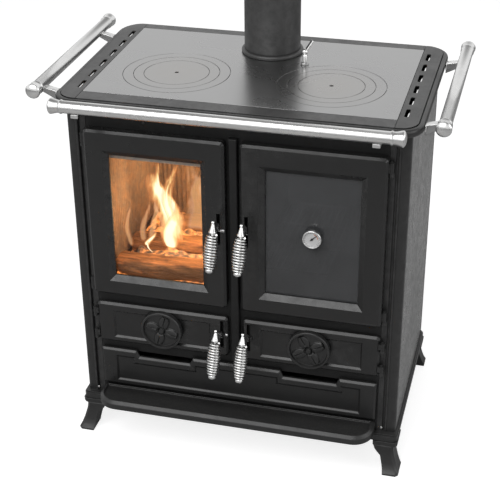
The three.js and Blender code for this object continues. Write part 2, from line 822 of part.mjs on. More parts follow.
function handlePin(z, front) {
  const length = front < HANDLE.y - 4 ? HANDLE.slotWidth / 2 + 2 : 9;
  const pin = moved(rod(3, -length, length), AXIS_X);
  const ears = [-1, 1].map((s) => {
    const x = s * (HANDLE.slotWidth / 2 + 2.5);
    return block(x - 2.5, x + 2.5, -2, 6, -5, 5);
  });
  return shifted(joined(pin, ...ears), HANDLE.x, HANDLE.y, z);
}

// A right-hand door leaf with bevelled front edges, hinge knuckles and the handle slot.
function doorLeaf(door, knuckles, handleZ, openings) {
  const shape = roundedOutline(door.x0, door.x1, door.z0, door.z1, 9);
  const leaf = joined(facePlate(shape, door.front, door.back, 5), ...knuckles.map(knuckle));
  const slot = handleSlot(handleZ, door.front);
  const pierced = cut(leaf, ...knuckles.map(knuckleBore), slot, ...openings);
  return joined(pierced, handlePin(handleZ, door.front));
}

// Bevelled window, straight reveal and a rebate behind it for the glass.
function windowCuts() {
  const { x0, x1, z0, z1, slope, depth } = WINDOW;
  const { front, back } = UPPER_DOOR;
  return [
    taperedBlock(x0 - slope, x1 + slope, z0 - slope, z1 + slope, front, front + depth, slope),
    block(x0, x1, front - 1, back + 1, z0, z1),
    block(x0 - 6, x1 + 6, back - 8, back + 1, z0 - 6, z1 + 6),
  ];
}

function doorGlass(holes = []) {
  const { x0, x1, z0, z1 } = WINDOW;
  const reach = 6 - GAP;
  const y = UPPER_DOOR.back - 8 + GAP;
  return cut(block(x0 - reach, x1 + reach, y, y + 4, z0 - reach, z1 + reach), ...holes);
}

// Sunk panel, spindle hole and four air holes under the air wheel.
function lowerCuts() {
  const { x0, x1, z0, z1 } = LOWER_PANEL;
  const front = LOWER_DOOR.front;
  const bored = (r, x, z) => shifted(moved(rod(r, -12, 12), AXIS_Y), x, front + 5, z);
  const holes = [45, 135, 225, 315].map((degrees) => {
    const a = THREE.MathUtils.degToRad(degrees);
    return bored(9, AIR_WHEEL.x + 26 * Math.cos(a), AIR_WHEEL.z + 26 * Math.sin(a));
  });
  return [
    taperedBlock(x0, x1, z0, z1, front, front + 4, 4),
    bored(4.6, AIR_WHEEL.x, AIR_WHEEL.z),
    ...holes,
  ];
}

// A raised-rim disc with petals round a small boss, on a spindle through the door.
function airWheel() {
  const { r, front, back, petals } = AIR_WHEEL;
  const depth = back - front;
  const profile = [
    [0, -14],
    [4.2, -14],
    [4.2, 0],
    [r - 3, 0],
    [r, 2],
    [r, depth - 3],
    [r - 2, depth],
    [r - 5, depth],
    [r - 7, depth - 4],
    [9, depth - 4],
    [7, depth],
    [0, depth],
  ];
  const disc = turned(profile, ROUND_LARGE - 8);
  const petal = new THREE.Shape();
  petal.moveTo(6, 0);
  petal.bezierCurveTo(14, 13, 30, 15, 42, 9);
  petal.lineTo(42, -9);
  petal.bezierCurveTo(30, -15, 14, -13, 6, 0);
  const leaf = raised(petal, depth - 5, depth - 2, 3);
  const all = Array.from({ length: petals }, (_, i) => leaf.rotate([0, 0, (i * 360) / petals]));
  return joined(disc, ...all);
}

const wheelBody = airWheel();
const upperLeaf = doorLeaf(UPPER_DOOR, UPPER_KNUCKLES, HANDLE.upperZ, windowCuts());
const lowerLeaf = doorLeaf(LOWER_DOOR, LOWER_KNUCKLES, HANDLE.lowerZ, lowerCuts());
const stemHole = shifted(moved(rod(3.6, -20, 20), AXIS_Y), DIAL.x, UPPER_DOOR.back - 6, DIAL.z);

add("firebox_door", upperLeaf, blackIron).scale.x = -1;
add("firebox_glass", doorGlass(), ovenGlass).scale.x = -1;
add("oven_door", upperLeaf, blackIron);
add("oven_glass", doorGlass([stemHole]), ovenGlass);
add("ash_door", lowerLeaf, blackIron).scale.x = -1;
add("soot_door", lowerLeaf, blackIron);

// The two wheels stand at different turns.
for (const { side, door, turn } of [
  { side: -1, door: "ash", turn: 0.5 },
  { side: 1, door: "soot", turn: -0.28 },
]) {
  const wheel = add(`${door}_air_wheel`, wheelBody, blackIron);
  wheel.position.set(side * AIR_WHEEL.x, AIR_WHEEL.back, AIR_WHEEL.z);
  wheel.rotation.set(Math.PI / 2, 0, turn);
}

// ---------------------------------------------------------------- oven thermometer

function thermometerCase() {
  const { r, front, back } = DIAL;
  const depth = back - front;
  const profile = [
    [0, -14],
    [3.2, -14],
    [3.2, 0],
    [r - 5, 0],
    [r, 3],
    [r, depth - 1.5],
    [r - 1.5, depth],
    [r - 3, depth - 0.5],
    [r - 3, depth - 4],
    [0, depth - 4],
  ];
  return turned(profile, ROUND_MID);
}

function thermometerNeedle() {
  const hub = rod(2.4, 0, 1.6);
  const pointer = raised(outline([[-5, -1.1], [-5, 1.1], [14, 0.5], [14, -0.5]]), 0.2, 1.2);
  return joined(hub, pointer);
}

const thermometer = new THREE.Group();
thermometer.position.set(DIAL.x, DIAL.back, DIAL.z);
thermometer.rotation.x = Math.PI / 2;
add("thermometer_case", thermometerCase(), chrome, thermometer);
const needle = add("thermometer_needle", thermometerNeedle(), needleBlack, thermometer);
needle.position.z = DIAL.back - DIAL.front - 4 + GAP;
needle.rotation.z = 0.75;
stove.add(thermometer);

// ---------------------------------------------------------------- drawer

// Front outline with two finger notches; `inset` draws it in for the sunk panel.
function drawerOutline(half, z0, z1, notchX0, notchX1) {
  const { depth, run } = NOTCH;
  const right = [
    [half, z0],
    [half, z1],
    [notchX1 + run, z1],
    [notchX1, z1 - depth],
    [notchX0, z1 - depth],
    [notchX0 - run, z1],
  ];
  const left = right.map(([x, z]) => [-x, z]).reverse();
  return outline([...right, ...left]);
}

function drawerFront() {
  const { half, z0, z1, front, back } = DRAWER;
  const panel = DRAWER_PANEL;
  const plate = facePlate(drawerOutline(half, z0, z1, NOTCH.x0, NOTCH.x1), front, back, 5);
  const low = panel.z1 - NOTCH.depth;
  const sunk = (x0, x1, top) => taperedBlock(x0, x1, panel.z0, top, front, front + 4, 4);
  return cut(
    plate,
    sunk(-panel.half, panel.half, low),
    sunk(-panel.half, -NOTCH.x1 - 12, panel.z1),
    sunk(-NOTCH.x0 + 12, NOTCH.x0 - 12, panel.z1),
    sunk(NOTCH.x1 + 12, panel.half, panel.z1),
  );
}

function drawerBox() {
  const y0 = DRAWER.back + GAP;
  const z0 = DRAWER.z0 + 4;
  const outer = block(-310, 310, y0, DRAWER.boxBack, z0, 208);
  const inner = block(-308, 308, y0 + 2, DRAWER.boxBack - 2, z0 + 2, 209);
  return cut(outer, inner);
}

add("drawer_front", drawerFront(), blackIron);
add("drawer_box", drawerBox(), sheetSteel);

// ---------------------------------------------------------------- spring-grip handles

// Centre line of the grip's wire about the Z axis, from z = start to z = end: straight along
// the axis for one wire diameter at each end, then winding up to speed over half a turn.
function gripWire(stepsPerTurn) {
  const { start, end, wire, turns, rEnd, rMid } = GRIP;
  const ease = 0.5; // turns over which the winding starts and stops
  const easeLength = 6;
  const straight = wire;
  const z0 = start + straight;
  const z1 = end - straight;
  const steady = turns - 2 * ease;
  const climb = (z1 - z0 - 2 * easeLength) / steady;
  const points = [];
  const place = (turn, z) => {
    const t = THREE.MathUtils.clamp((z - z0) / (z1 - z0), 0, 1);
    const bulge = Math.abs(Math.sin(Math.PI * t)) ** 0.75;
    const r = rEnd + (rMid - rEnd) * bulge;
    const a = 2 * Math.PI * turn;
    points.push(new THREE.Vector3(r * Math.cos(a), r * Math.sin(a), z));
  };
  place(0, start);
  place(0, start + straight / 2);
  const easeSteps = Math.max(4, Math.round(stepsPerTurn * ease));
  for (let i = 0; i < easeSteps; i++) {
    const t = i / easeSteps;
    place(ease * t * t, z0 + easeLength * t);
  }
  const steadySteps = Math.round(steady * stepsPerTurn);
  for (let i = 0; i <= steadySteps; i++) {
    const turn = (steady * i) / steadySteps;
    place(ease + turn, z0 + easeLength + turn * climb);
  }
  for (let i = 1; i <= easeSteps; i++) {
    const t = 1 - i / easeSteps;
    place(turns - ease * t * t, z1 - easeLength * t);
  }
  place(turns, end - straight / 2);
  place(turns, end);
  return points;
}

// A round wire as one unbroken tube of `sides` faces round a list of centre points.
function wireTube(points, radius, sides) {
  const rings = points.map((p, i) => {
    const ahead = points[Math.min(i + 1, points.length - 1)];
    const behind = points[Math.max(i - 1, 0)];
    const along = ahead.clone().sub(behind).normalize();
    const outward = new THREE.Vector3(p.x, p.y, 0).normalize();
    outward.addScaledVector(along, -outward.dot(along)).normalize();
    const across = along.clone().cross(outward);
    return Array.from({ length: sides }, (_, k) => {
      const a = (2 * Math.PI * k) / sides;
      const q = p.clone();
      q.addScaledVector(outward, radius * Math.cos(a));
      q.addScaledVector(across, radius * Math.sin(a));
      return q.toArray();
    });
  });
  return loft(rings);
}

// Least clear distance between turns of the wire, on points along its centre line.
function leastGap(points, diameter, apart) {
  let least = Infinity;
  for (let i = 0; i < points.length; i++) {
    for (let j = i + apart; j < points.length; j++) {
      least = Math.min(least, points[i].distanceTo(points[j]));
    }
  }
  return least - diameter;
}

const FINE_STEPS = 48;
const finePoints = gripWire(FINE_STEPS);
const gripGap = leastGap(finePoints, GRIP.wire, Math.round(FINE_STEPS * 0.4));
console.log(`spring grip: least gap of the wire to itself ${gripGap.toFixed(2)} mm`);

// Lever in the plane x = 0 with its pivot at the origin: an eye on the pin, an arm up to the
// bend, then the neck, collar, core and end knob of the grip on one leaning axis.
const BEND = [-46, 38];

function barBetween([ay, az], [by, bz], r0, r1) {
  const dy = by - ay;
  const dz = bz - az;
  const length = Math.hypot(dy, dz);
  const side = Math.atan2(dz, dy);
  const shape = new THREE.Shape();
  shape.absarc(0, 0, r0, Math.PI / 2, 1.5 * Math.PI);
  shape.absarc(length, 0, r1, -Math.PI / 2, Math.PI / 2);
  const bar = sideways(shape, -HANDLE.strap / 2, HANDLE.strap / 2, 4);
  return shifted(bar.rotate([THREE.MathUtils.radToDeg(side), 0, 0]), 0, ay, az);
}

function handleLever() {
  const neck = [
    [0, 0],
    [2.6, 1],
    [7.2, 19],
    [7.2, GRIP.start - GAP],
    [3, GRIP.start - GAP],
    [3, GRIP.end + GAP],
    [8, GRIP.end + GAP],
    [8, 104],
    [5, 108],
    [0, 109],
  ];
  const grip = turned(neck, ROUND_SMALL).rotate([180 - GRIP_TILT, 0, 0]);
  const eye = barBetween([0, 0], [9, -3], 7.5, 4);
  const arm = barBetween([0, 0], BEND, 6.5, 4.5);
  const pinHole = moved(rod(3.3, -20, 20), AXIS_X);
  return cut(joined(eye, arm, shifted(grip, 0, ...BEND)), pinHole);
}

const leverBody = handleLever();
const springBody = wireTube(gripWire(7), GRIP.wire / 2, 5);
for (const { name, side, z } of [
  { name: "firebox", side: -1, z: HANDLE.upperZ },
  { name: "oven", side: 1, z: HANDLE.upperZ },
  { name: "ash", side: -1, z: HANDLE.lowerZ },
  { name: "soot", side: 1, z: HANDLE.lowerZ },
]) {
  const handle = new THREE.Group();
  handle.position.set(side * HANDLE.x, HANDLE.y, z);
  add(`${name}_handle_lever`, leverBody, chrome, handle);
  const spring = add(`${name}_spring_grip`, springBody, chrome, handle);
  spring.position.set(0, ...BEND);
  spring.rotation.x = THREE.MathUtils.degToRad(180 - GRIP_TILT);
  stove.add(handle);
}

// ---------------------------------------------------------------- rails

// Half of a rail's [radius, distance] outline: tube, bead and flared end.
function railEnd(r, bead, flareEnd, end, flare) {
  return [
    [r, bead - 3],
    [r + 1.6, bead],
    [r, bead + 3],
    [r + (flare - r) * 0.35, (bead + flareEnd) / 2],
    [flare, flareEnd],
    [flare - 4, end - 0.25 * (end - flareEnd)],
    [0, end],
  ];
}

function frontRail() {
  const { r, bead, flareEnd, end } = FRONT_RAIL;
  const half = railEnd(r, bead, flareEnd, end, 17);
  const other = half.map(([radius, x]) => [radius, -x]).reverse();
  return moved(turned([...other, ...half], ROUND_MID), AXIS_X);
}

function railBracket() {
  const edge = TOP.front - 11.5 - GAP;
  const under = FRONT_RAIL.z - FRONT_RAIL.r - GAP;
  const bar = block(-8, 8, FRONT_RAIL.y - 6, edge, 844, 849);
  const pad = block(-8, 8, FRONT_RAIL.y - 6, FRONT_RAIL.y + 6, 848, under);
  const flange = block(-11, 11, edge - 3, edge, 841.5, 852);
  return joined(bar, pad, flange);
}

add("front_rail", frontRail(), chrome).position.set(0, FRONT_RAIL.y, FRONT_RAIL.z);
const bracketBody = railBracket();
for (const { side, label } of SIDES) {
  add(`front_rail_bracket_${label}`, bracketBody, chrome).position.x = side * FRONT_RAIL.bracketX;
}

// A side rail with its two arms, in place on the right.
function sideRail() {
  const { x, z, r, front, back, end, arms } = SIDE_RAIL;
  const middle = (front + back) / 2;
  const reach = (back - front) / 2;
  const half = railEnd(r, reach - 22, reach, reach + end, 16.5);
  const other = half.map(([radius, y]) => [radius, -y]).reverse();
  const tube = moved(turned([...other, ...half], ROUND_MID), AXIS_Y);
  const root = TOP.half + 11.5 + GAP;
  const web = outline([
    [root, 855],
    [x, z - 2],
    [x, z - 12],
    [root, 834],
  ]);
  const top = outline([
    [root, 852],
    [root, 855],
    [x - 2, z - 1],
    [x - 2, z - 4],
  ]);
  const all = arms.flatMap((y) => [
    facePlate(web, y - 3, y + 3),
    facePlate(top, y - 9, y + 9),
    block(root, root + 3, y - 11, y + 11, 841, 854.5),
  ]);
  return joined(shifted(tube, x, middle, z), ...all);
}

const sideRailBody = sideRail();
for (const { side, label } of SIDES) {
  add(`side_rail_${label}`, sideRailBody, chrome).scale.x = side;
}

export default stove;
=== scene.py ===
# A wood-burning cookstove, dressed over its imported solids. Metres, +Z up, the doors face -Y.
import math
import random

import bmesh
import bpy
from mathutils import Matrix, Vector


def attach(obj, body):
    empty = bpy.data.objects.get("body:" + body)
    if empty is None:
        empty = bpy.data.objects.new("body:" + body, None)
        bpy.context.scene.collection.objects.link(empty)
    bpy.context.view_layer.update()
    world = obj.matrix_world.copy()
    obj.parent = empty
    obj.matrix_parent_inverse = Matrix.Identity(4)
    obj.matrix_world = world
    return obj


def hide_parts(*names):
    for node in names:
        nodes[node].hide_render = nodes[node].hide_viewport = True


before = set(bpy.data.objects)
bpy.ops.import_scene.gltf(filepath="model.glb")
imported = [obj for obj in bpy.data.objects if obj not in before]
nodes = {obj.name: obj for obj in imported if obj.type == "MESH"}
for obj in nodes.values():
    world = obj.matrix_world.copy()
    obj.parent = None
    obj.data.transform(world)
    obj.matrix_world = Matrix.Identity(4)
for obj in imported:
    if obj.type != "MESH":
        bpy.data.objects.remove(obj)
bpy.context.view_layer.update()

# ------------------------------------------------------------------ the stove's own sizes

HOB = 0.860
PLATE = dict(x=0.3367, front=-0.1607, back=0.2517, thick=0.008)
TOP = dict(x=0.382, front=-0.202, back=0.272, corner=0.038)
BURNER = dict(x=0.173, y=-0.0115)
RINGS = [0.119, 0.0955, 0.0725]
LEDGE, STEP, GAP = 0.007, 0.004, 0.0003
RING_LINE, HOOK_SOCKET = 0.0012, 0.0045
FLUE = dict(y=0.171, pipe=0.064, bead=0.0705, spigot=0.0612, bore=0.058, top=1.040)
DAMPER = dict(x=0.091, y=0.099, ball=0.890)
SLOTS = dict(count=6, x=0.352, first=-0.1225, pitch=0.0657, length=0.042, width=0.009)
LEAF_FRONT = dict(upper=-0.201, lower=-0.1905)
WHEEL = dict(x=0.1715, z=0.304, r=0.0485, front=-0.205, back=-0.1912)
DIAL = dict(x=0.175, z=0.587, r=0.021, front=-0.206, back=-0.193)
HANDLE = dict(x=0.031, y=-0.1921, upper=0.582, lower=0.309)
BEND = (-0.046, 0.038)
GRIP_TILT = 22.3
GRIP = dict(start=0.0233, end=0.0997, wire=0.0043, turns=12.0, r_end=0.0092, r_mid=0.0134)
FRONT_RAIL = dict(y=-0.2666, z=0.866, r=0.0133, bead=0.342, flare=0.017, flare_end=0.364, end=0.371)
SIDE_RAIL = dict(x=0.43422, z=0.864, r=0.0136, flare=0.0165, front=-0.197, back=0.277)
RAIL_ARMS = (-0.1555, 0.197)
FIREBOX = dict(x0=-0.300, x1=-0.046, back=0.176, z0=0.4113, z1=0.800, wall=0.020)
OVEN = dict(x0=0.030, x1=0.322)
RACK = dict(z=0.470, front=-0.148, back=0.180)

SIDES = [("left", -1), ("right", 1)]
LEAVES = [("firebox", -1, "upper"), ("oven", 1, "upper"), ("ash", -1, "lower"), ("soot", 1, "lower")]
WHITE = (1.0, 1.0, 1.0, 1.0)

# ------------------------------------------------------------------ drawing node trees


class Drawing:
    """A node tree being drawn: node() adds a node, sets its fields and joins its sockets."""

    def __init__(self, tree):
        self.tree = tree

    def node(self, kind, sockets=None, **fields):
        made = self.tree.nodes.new(kind)
        for field, value in fields.items():
            setattr(made, field, value)
        for key, value in (sockets or {}).items():
            self.join(value, made.inputs[key])
        return made

    def join(self, value, socket):
        if isinstance(value, bpy.types.NodeSocket):
            self.tree.links.new(value, socket)
        else:
            socket.default_value = value

    def sum(self, operation, *terms):
        made = self.node("ShaderNodeMath", dict(enumerate(terms)), operation=operation)
        return made.outputs[0]

    def span(self, value, low, high, to_low=0.0, to_high=1.0):
        sockets = {"Value": value, "From Min": low, "From Max": high}
        sockets.update({"To Min": to_low, "To Max": to_high})
        return self.node("ShaderNodeMapRange", sockets).outputs["Result"]

    def blend(self, share, first, second):
        made = self.node("ShaderNodeMix", data_type="RGBA")
        for index, value in ((0, share), (6, first), (7, second)):
            self.join(value, made.inputs[index])
        return made.outputs[2]

    def noise(self, vector, scale, detail=3.0, rough=0.5, warp=0.0):
        sockets = {"Vector": vector, "Scale": scale, "Detail": detail}
        sockets.update({"Roughness": rough, "Distortion": warp})
        return self.node("ShaderNodeTexNoise", sockets).outputs["Fac"]

    def place(self):
        return self.node("ShaderNodeTexCoord").outputs["Object"]

    def stretched(self, vector, scale):
        return self.node("ShaderNodeMapping", {"Vector": vector, "Scale": scale}).outputs[0]


SOCKET_KINDS = {
    float: "NodeSocketFloat",
    int: "NodeSocketInt",
    tuple: "NodeSocketVector",
    list: "NodeSocketColor",
    str: "NodeSocketMaterial",
}


def group(name, kind, inputs, outputs):
    """A node group with named sockets; an input's default also says what kind it is."""
    tree = bpy.data.node_groups.new(name, kind)
    for label, default in inputs.items():
        socket_type = SOCKET_KINDS[type(default)]
        made = tree.interface.new_socket(name=label, in_out="INPUT", socket_type=socket_type)
        if socket_type != "NodeSocketMaterial":
            made.default_value = default
    for label, socket_type in outputs.items():
        tree.interface.new_socket(name=label, in_out="OUTPUT", socket_type=socket_type)
    drawing = Drawing(tree)
    drawing.inputs = drawing.node("NodeGroupInput").outputs
    drawing.outputs = drawing.node("NodeGroupOutput").inputs
    return drawing


# ------------------------------------------------------------------ effects shared by finishes

VALUE = "NodeSocketFloat"


def cast_skin():
    """The fine pebbled skin of sand-cast iron under satin paint."""
    d = group("cast skin", "ShaderNodeTree", {"Grains per metre": 900.0}, {"Height": VALUE, "Tone": VALUE})
    place = d.place()
    fine = d.noise(place, d.inputs[0], 4.0, 0.6)
    coarse = d.noise(place, d.sum("MULTIPLY", d.inputs[0], 0.22), 2.0, 0.5)
    cloud = d.noise(place, 5.0, 3.0, 0.6)
    d.join(d.sum("MULTIPLY_ADD", fine, 0.6, d.sum("MULTIPLY", coarse, 0.4)), d.outputs["Height"])
    d.join(cloud, d.outputs["Tone"])
    return d.tree


def rubbed_edges():
    """Where hands and cloths have polished the outer edges."""
    inputs = {"Reach": 0.06, "Breakup per metre": 60.0}
    d = group("rubbed edges", "ShaderNodeTree", inputs, {"Mask": VALUE})
    sharp = d.node("ShaderNodeNewGeometry").outputs["Pointiness"]
    edge = d.span(sharp, 0.505, d.sum("ADD", d.inputs["Reach"], 0.505))
    broken = d.span(d.noise(d.place(), d.inputs["Breakup per metre"], 4.0, 0.65), 0.35, 0.62)
    d.join(d.sum("MULTIPLY", edge, broken), d.outputs["Mask"])
    return d.tree


def handling():
    """Wiped smears that change the gloss, and the little dust that lies on level places."""
    inputs = {"Smears per metre": 9.0, "Dust": 0.3}
    d = group("handling", "ShaderNodeTree", inputs, {"Smear": VALUE, "Dust": VALUE})
    place = d.place()
    wiped = d.noise(d.stretched(place, (1.0, 1.0, 0.35)), d.inputs[0], 5.0, 0.62, 0.8)
    up = d.node("ShaderNodeSeparateXYZ", {0: d.node("ShaderNodeNewGeometry").outputs["Normal"]})
    level = d.span(up.outputs[2], 0.75, 1.0)
    specks = d.span(d.noise(place, 260.0, 5.0, 0.7), 0.48, 0.72)
    d.join(d.span(wiped, 0.3, 0.7), d.outputs["Smear"])
    d.join(d.sum("MULTIPLY", d.sum("MULTIPLY", level, specks), d.inputs["Dust"]), d.outputs["Dust"])
    return d.tree


def drawn_lines():
    """Fine straight scratches left by grinding or drawing, along one way of the piece."""
    inputs = {"Squeeze": (1.0, 60.0, 1.0), "Lines per metre": 30.0}
    d = group("drawn lines", "ShaderNodeTree", inputs, {"Line": VALUE, "Patch": VALUE})
    place = d.place()
    lines = d.noise(d.stretched(place, d.inputs["Squeeze"]), d.inputs["Lines per metre"], 6.0, 0.7)
    d.join(lines, d.outputs["Line"])
    d.join(d.span(d.noise(place, 7.0, 4.0, 0.6, 0.6), 0.3, 0.7), d.outputs["Patch"])
    return d.tree


def ring_distance():
    """Distance in the XY plane from a burner's centre, for turning marks and heat colour."""
    inputs = {"Centre": (0.0, 0.0, 0.0)}
    d = group("ring distance", "ShaderNodeTree", inputs, {"Distance": VALUE})
    flat = d.node("ShaderNodeVectorMath", {0: d.place(), 1: (1.0, 1.0, 0.0)}, operation="MULTIPLY")
    gap = d.node("ShaderNodeVectorMath", {0: flat.outputs[0], 1: d.inputs[0]}, operation="DISTANCE")
    d.join(gap.outputs["Value"], d.outputs["Distance"])
    return d.tree


CAST_SKIN = cast_skin()
RUBBED_EDGES = rubbed_edges()
HANDLING = handling()
DRAWN_LINES = drawn_lines()
RING_DISTANCE = ring_distance()

# ------------------------------------------------------------------ finishes


def finish(name, **fixed):
    """A material with its Principled shader; `fixed` sets that shader's plain sockets."""
    made = bpy.data.materials.new(name)
    made.use_nodes = True
    made.node_tree.nodes.clear()
    d = Drawing(made.node_tree)
    d.material = made
    d.shader = d.node("ShaderNodeBsdfPrincipled")
    d.output = d.node("ShaderNodeOutputMaterial", {"Surface": d.shader.outputs[0]})
    for label, value in fixed.items():
        d.shader.inputs[label.replace("_", " ")].default_value = value
    return d


def use(d, tree, **sockets):
    named = {label.replace("_", " "): value for label, value in sockets.items()}
    made = d.node("ShaderNodeGroup", node_tree=tree)
    for label, value in named.items():
        d.join(value, made.inputs[label])
    return made.outputs


def bump(d, height, strength, distance):
    sockets = {"Strength": strength, "Distance": distance, "Height": height}
    d.join(d.node("ShaderNodeBump", sockets).outputs[0], d.shader.inputs["Normal"])


def grey(level):
    return (level, level, level, 1.0)


def painted_iron(name, base, rough, gloss=0.3, grains=900.0, relief=0.35, dust=0.25):
    """Satin black paint on cast iron."""
    d = finish(name, Specular_IOR_Level=gloss)
    skin = use(d, CAST_SKIN, Grains_per_metre=grains)
    edge = use(d, RUBBED_EDGES, Reach=0.07)
    hand = use(d, HANDLING, Dust=dust)
    tint = d.blend(d.span(skin["Tone"], 0.3, 0.7), grey(base * 0.8), grey(base * 1.2))
    worn = d.blend(d.sum("MULTIPLY", edge["Mask"], 0.55), tint, grey(base * 3.2))
    d.join(d.blend(hand["Dust"], worn, (0.20, 0.19, 0.175, 1.0)), d.shader.inputs["Base Color"])
    gloss_map = d.span(hand["Smear"], 0.0, 1.0, rough - 0.06, rough + 0.07)
    d.join(d.sum("MULTIPLY_ADD", edge["Mask"], -0.1, gloss_map), d.shader.inputs["Roughness"])
    bump(d, skin["Height"], relief, 0.0004)
    return d.material


def ground_steel(name, turned_marks):
    """Ground steel of the cooking plate: fine lines, faint straw heat colour, blurred shine."""
    d = finish(name, Metallic=1.0)
    lines = use(d, DRAWN_LINES, Squeeze=(1.0, 40.0, 1.0), Lines_per_metre=35.0)
    left = use(d, RING_DISTANCE, Centre=(-BURNER["x"], BURNER["y"], 0.0))["Distance"]
    right = use(d, RING_DISTANCE, Centre=(BURNER["x"], BURNER["y"], 0.0))["Distance"]
    near = d.sum("MINIMUM", left, right)
    marks = d.sum("SINE", d.sum("MULTIPLY", near, 9000.0))
    heat = d.span(near, 0.13, 0.03)
    base = d.blend(lines["Patch"], grey(0.35), grey(0.39))
    warm = d.blend(d.sum("MULTIPLY", heat, 0.18), base, (0.40, 0.36, 0.31, 1.0))
    d.join(warm, d.shader.inputs["Base Color"])
    d.join(d.span(lines["Patch"], 0.0, 1.0, 0.25, 0.31), d.shader.inputs["Roughness"])
    height = d.sum("MULTIPLY_ADD", marks, turned_marks, lines["Line"])
    bump(d, height, 0.06, 0.0003)
    return d.material


def bright_metal(name, colour, rough, squeeze, relief=0.06):
    """Nickel plate or bright steel: fine draw lines and a few dull patches."""
    d = finish(name, Metallic=1.0)
    lines = use(d, DRAWN_LINES, Squeeze=squeeze, Lines_per_metre=60.0)
    dull = tuple(c * 0.86 for c in colour)
    tint = d.blend(lines["Patch"], (*dull, 1.0), (*colour, 1.0))
    d.join(tint, d.shader.inputs["Base Color"])
    d.join(d.span(lines["Patch"], 0.0, 1.0, rough + 0.07, rough), d.shader.inputs["Roughness"])
    bump(d, lines["Line"], relief, 0.0002)
    return d.material


def burnt_iron(name, base, ash):
    """Iron that lives in the fire: scaled, browned and dusted with pale ash."""
    d = finish(name, Specular_IOR_Level=0.25)
    skin = use(d, CAST_SKIN, Grains_per_metre=350.0)
    place = d.place()
    scale = d.noise(place, 38.0, 6.0, 0.7, 0.4)
    rusty = (base[0] * 2.0, base[1] * 1.5, base[2] * 1.1, 1.0)
    brown = d.blend(d.span(scale, 0.35, 0.65), (*base, 1.0), rusty)
    pale = d.span(d.noise(place, 90.0, 5.0, 0.7), 0.5, 0.75)
    dusted = d.blend(d.sum("MULTIPLY", pale, ash), brown, (0.36, 0.31, 0.26, 1.0))
    d.join(dusted, d.shader.inputs["Base Color"])
    d.join(d.span(scale, 0.3, 0.7, 0.72, 0.9), d.shader.inputs["Roughness"])
    bump(d, d.sum("ADD", skin["Height"], scale), 0.6, 0.0015)
    return d.material


def folded_sheet(name, base, rough, stain):
    """Mill-finish sheet steel with heat and smoke stains."""
    d = finish(name, Metallic=0.85)
    lines = use(d, DRAWN_LINES, Squeeze=(1.0, 50.0, 1.0), Lines_per_metre=25.0)
    smoke = d.span(d.noise(d.place(), 6.0, 5.0, 0.65, 0.5), 0.35, 0.7)
    tint = d.blend(d.sum("MULTIPLY", smoke, stain), grey(base), (base * 0.42, base * 0.36, base * 0.3, 1.0))
    d.join(tint, d.shader.inputs["Base Color"])
    d.join(d.span(smoke, 0.0, 1.0, rough, rough + 0.2), d.shader.inputs["Roughness"])
    bump(d, lines["Line"], 0.1, 0.0003)
    return d.material


def clear_glass(name, tint, cover):
    """Heat-resisting glass, faintly smoked, with wiping smears in its gloss."""
    d = finish(name, Roughness=0.04, IOR=1.47, Specular_IOR_Level=0.5)
    hand = use(d, HANDLING, Smears_per_metre=6.0, Dust=0.0)
    soot = d.span(d.noise(d.place(), 14.0, 5.0, 0.65, 0.7), 0.4, 0.8)
    d.join(d.blend(soot, (*tint, 1.0), tuple(c * 0.6 for c in tint) + (1.0,)), d.shader.inputs["Base Color"])
    d.join(d.span(hand["Smear"], 0.0, 1.0, 0.02, 0.07), d.shader.inputs["Roughness"])
    d.join(d.span(soot, 0.0, 1.0, cover, cover + 0.05), d.shader.inputs["Alpha"])
    return d.material


def charred_wood(name):
    """Burning logs: brown char streaked along the grain, with a dull glow in the deepest streaks."""
    d = finish(name, Specular_IOR_Level=0.2, Emission_Strength=0.55)
    place = d.place()
    fibre = d.noise(d.stretched(place, (0.12, 1.0, 1.0)), 90.0, 6.0, 0.7, 0.4)
    cloud = d.noise(d.stretched(place, (0.5, 1.0, 1.0)), 22.0, 5.0, 0.65, 0.5)
    wood = d.blend(d.span(fibre, 0.35, 0.65), (0.10, 0.050, 0.022, 1.0), (0.34, 0.17, 0.075, 1.0))
    d.join(d.blend(d.span(cloud, 0.52, 0.66), wood, (0.05, 0.03, 0.02, 1.0)), d.shader.inputs["Base Color"])
    glow = d.sum("MULTIPLY", d.span(fibre, 0.5, 0.72), d.span(cloud, 0.4, 0.6))
    lit = d.blend(glow, (0.10, 0.028, 0.006, 1.0), (1.0, 0.26, 0.06, 1.0))
    d.join(lit, d.shader.inputs["Emission Color"])
    d.join(d.span(fibre, 0.3, 0.7, 0.7, 0.95), d.shader.inputs["Roughness"])
    bump(d, d.sum("MULTIPLY_ADD", cloud, 0.5, fibre), 0.7, 0.003)
    return d.material


def ember_bed(name):
    """Glowing coals under a skin of pale ash."""
    d = finish(name, Specular_IOR_Level=0.1, Emission_Strength=2.2)
    place = d.place()
    lumps = d.node("ShaderNodeTexVoronoi", {"Vector": place, "Scale": 55.0}, feature="DISTANCE_TO_EDGE")
    cloud = d.noise(place, 24.0, 5.0, 0.7, 0.6)
    hot = d.sum("MULTIPLY", d.span(lumps.outputs["Distance"], 0.35, 0.02), d.span(cloud, 0.38, 0.62))
    d.join(d.blend(cloud, (0.05, 0.035, 0.03, 1.0), (0.33, 0.27, 0.22, 1.0)), d.shader.inputs["Base Color"])
    d.join(d.blend(hot, (0.0, 0.0, 0.0, 1.0), (1.0, 0.30, 0.06, 1.0)), d.shader.inputs["Emission Color"])
    d.join(d.span(cloud, 0.3, 0.7, 0.8, 0.95), d.shader.inputs["Roughness"])
    bump(d, d.sum("ADD", lumps.outputs["Distance"], cloud), 0.8, 0.004)
    return d.material


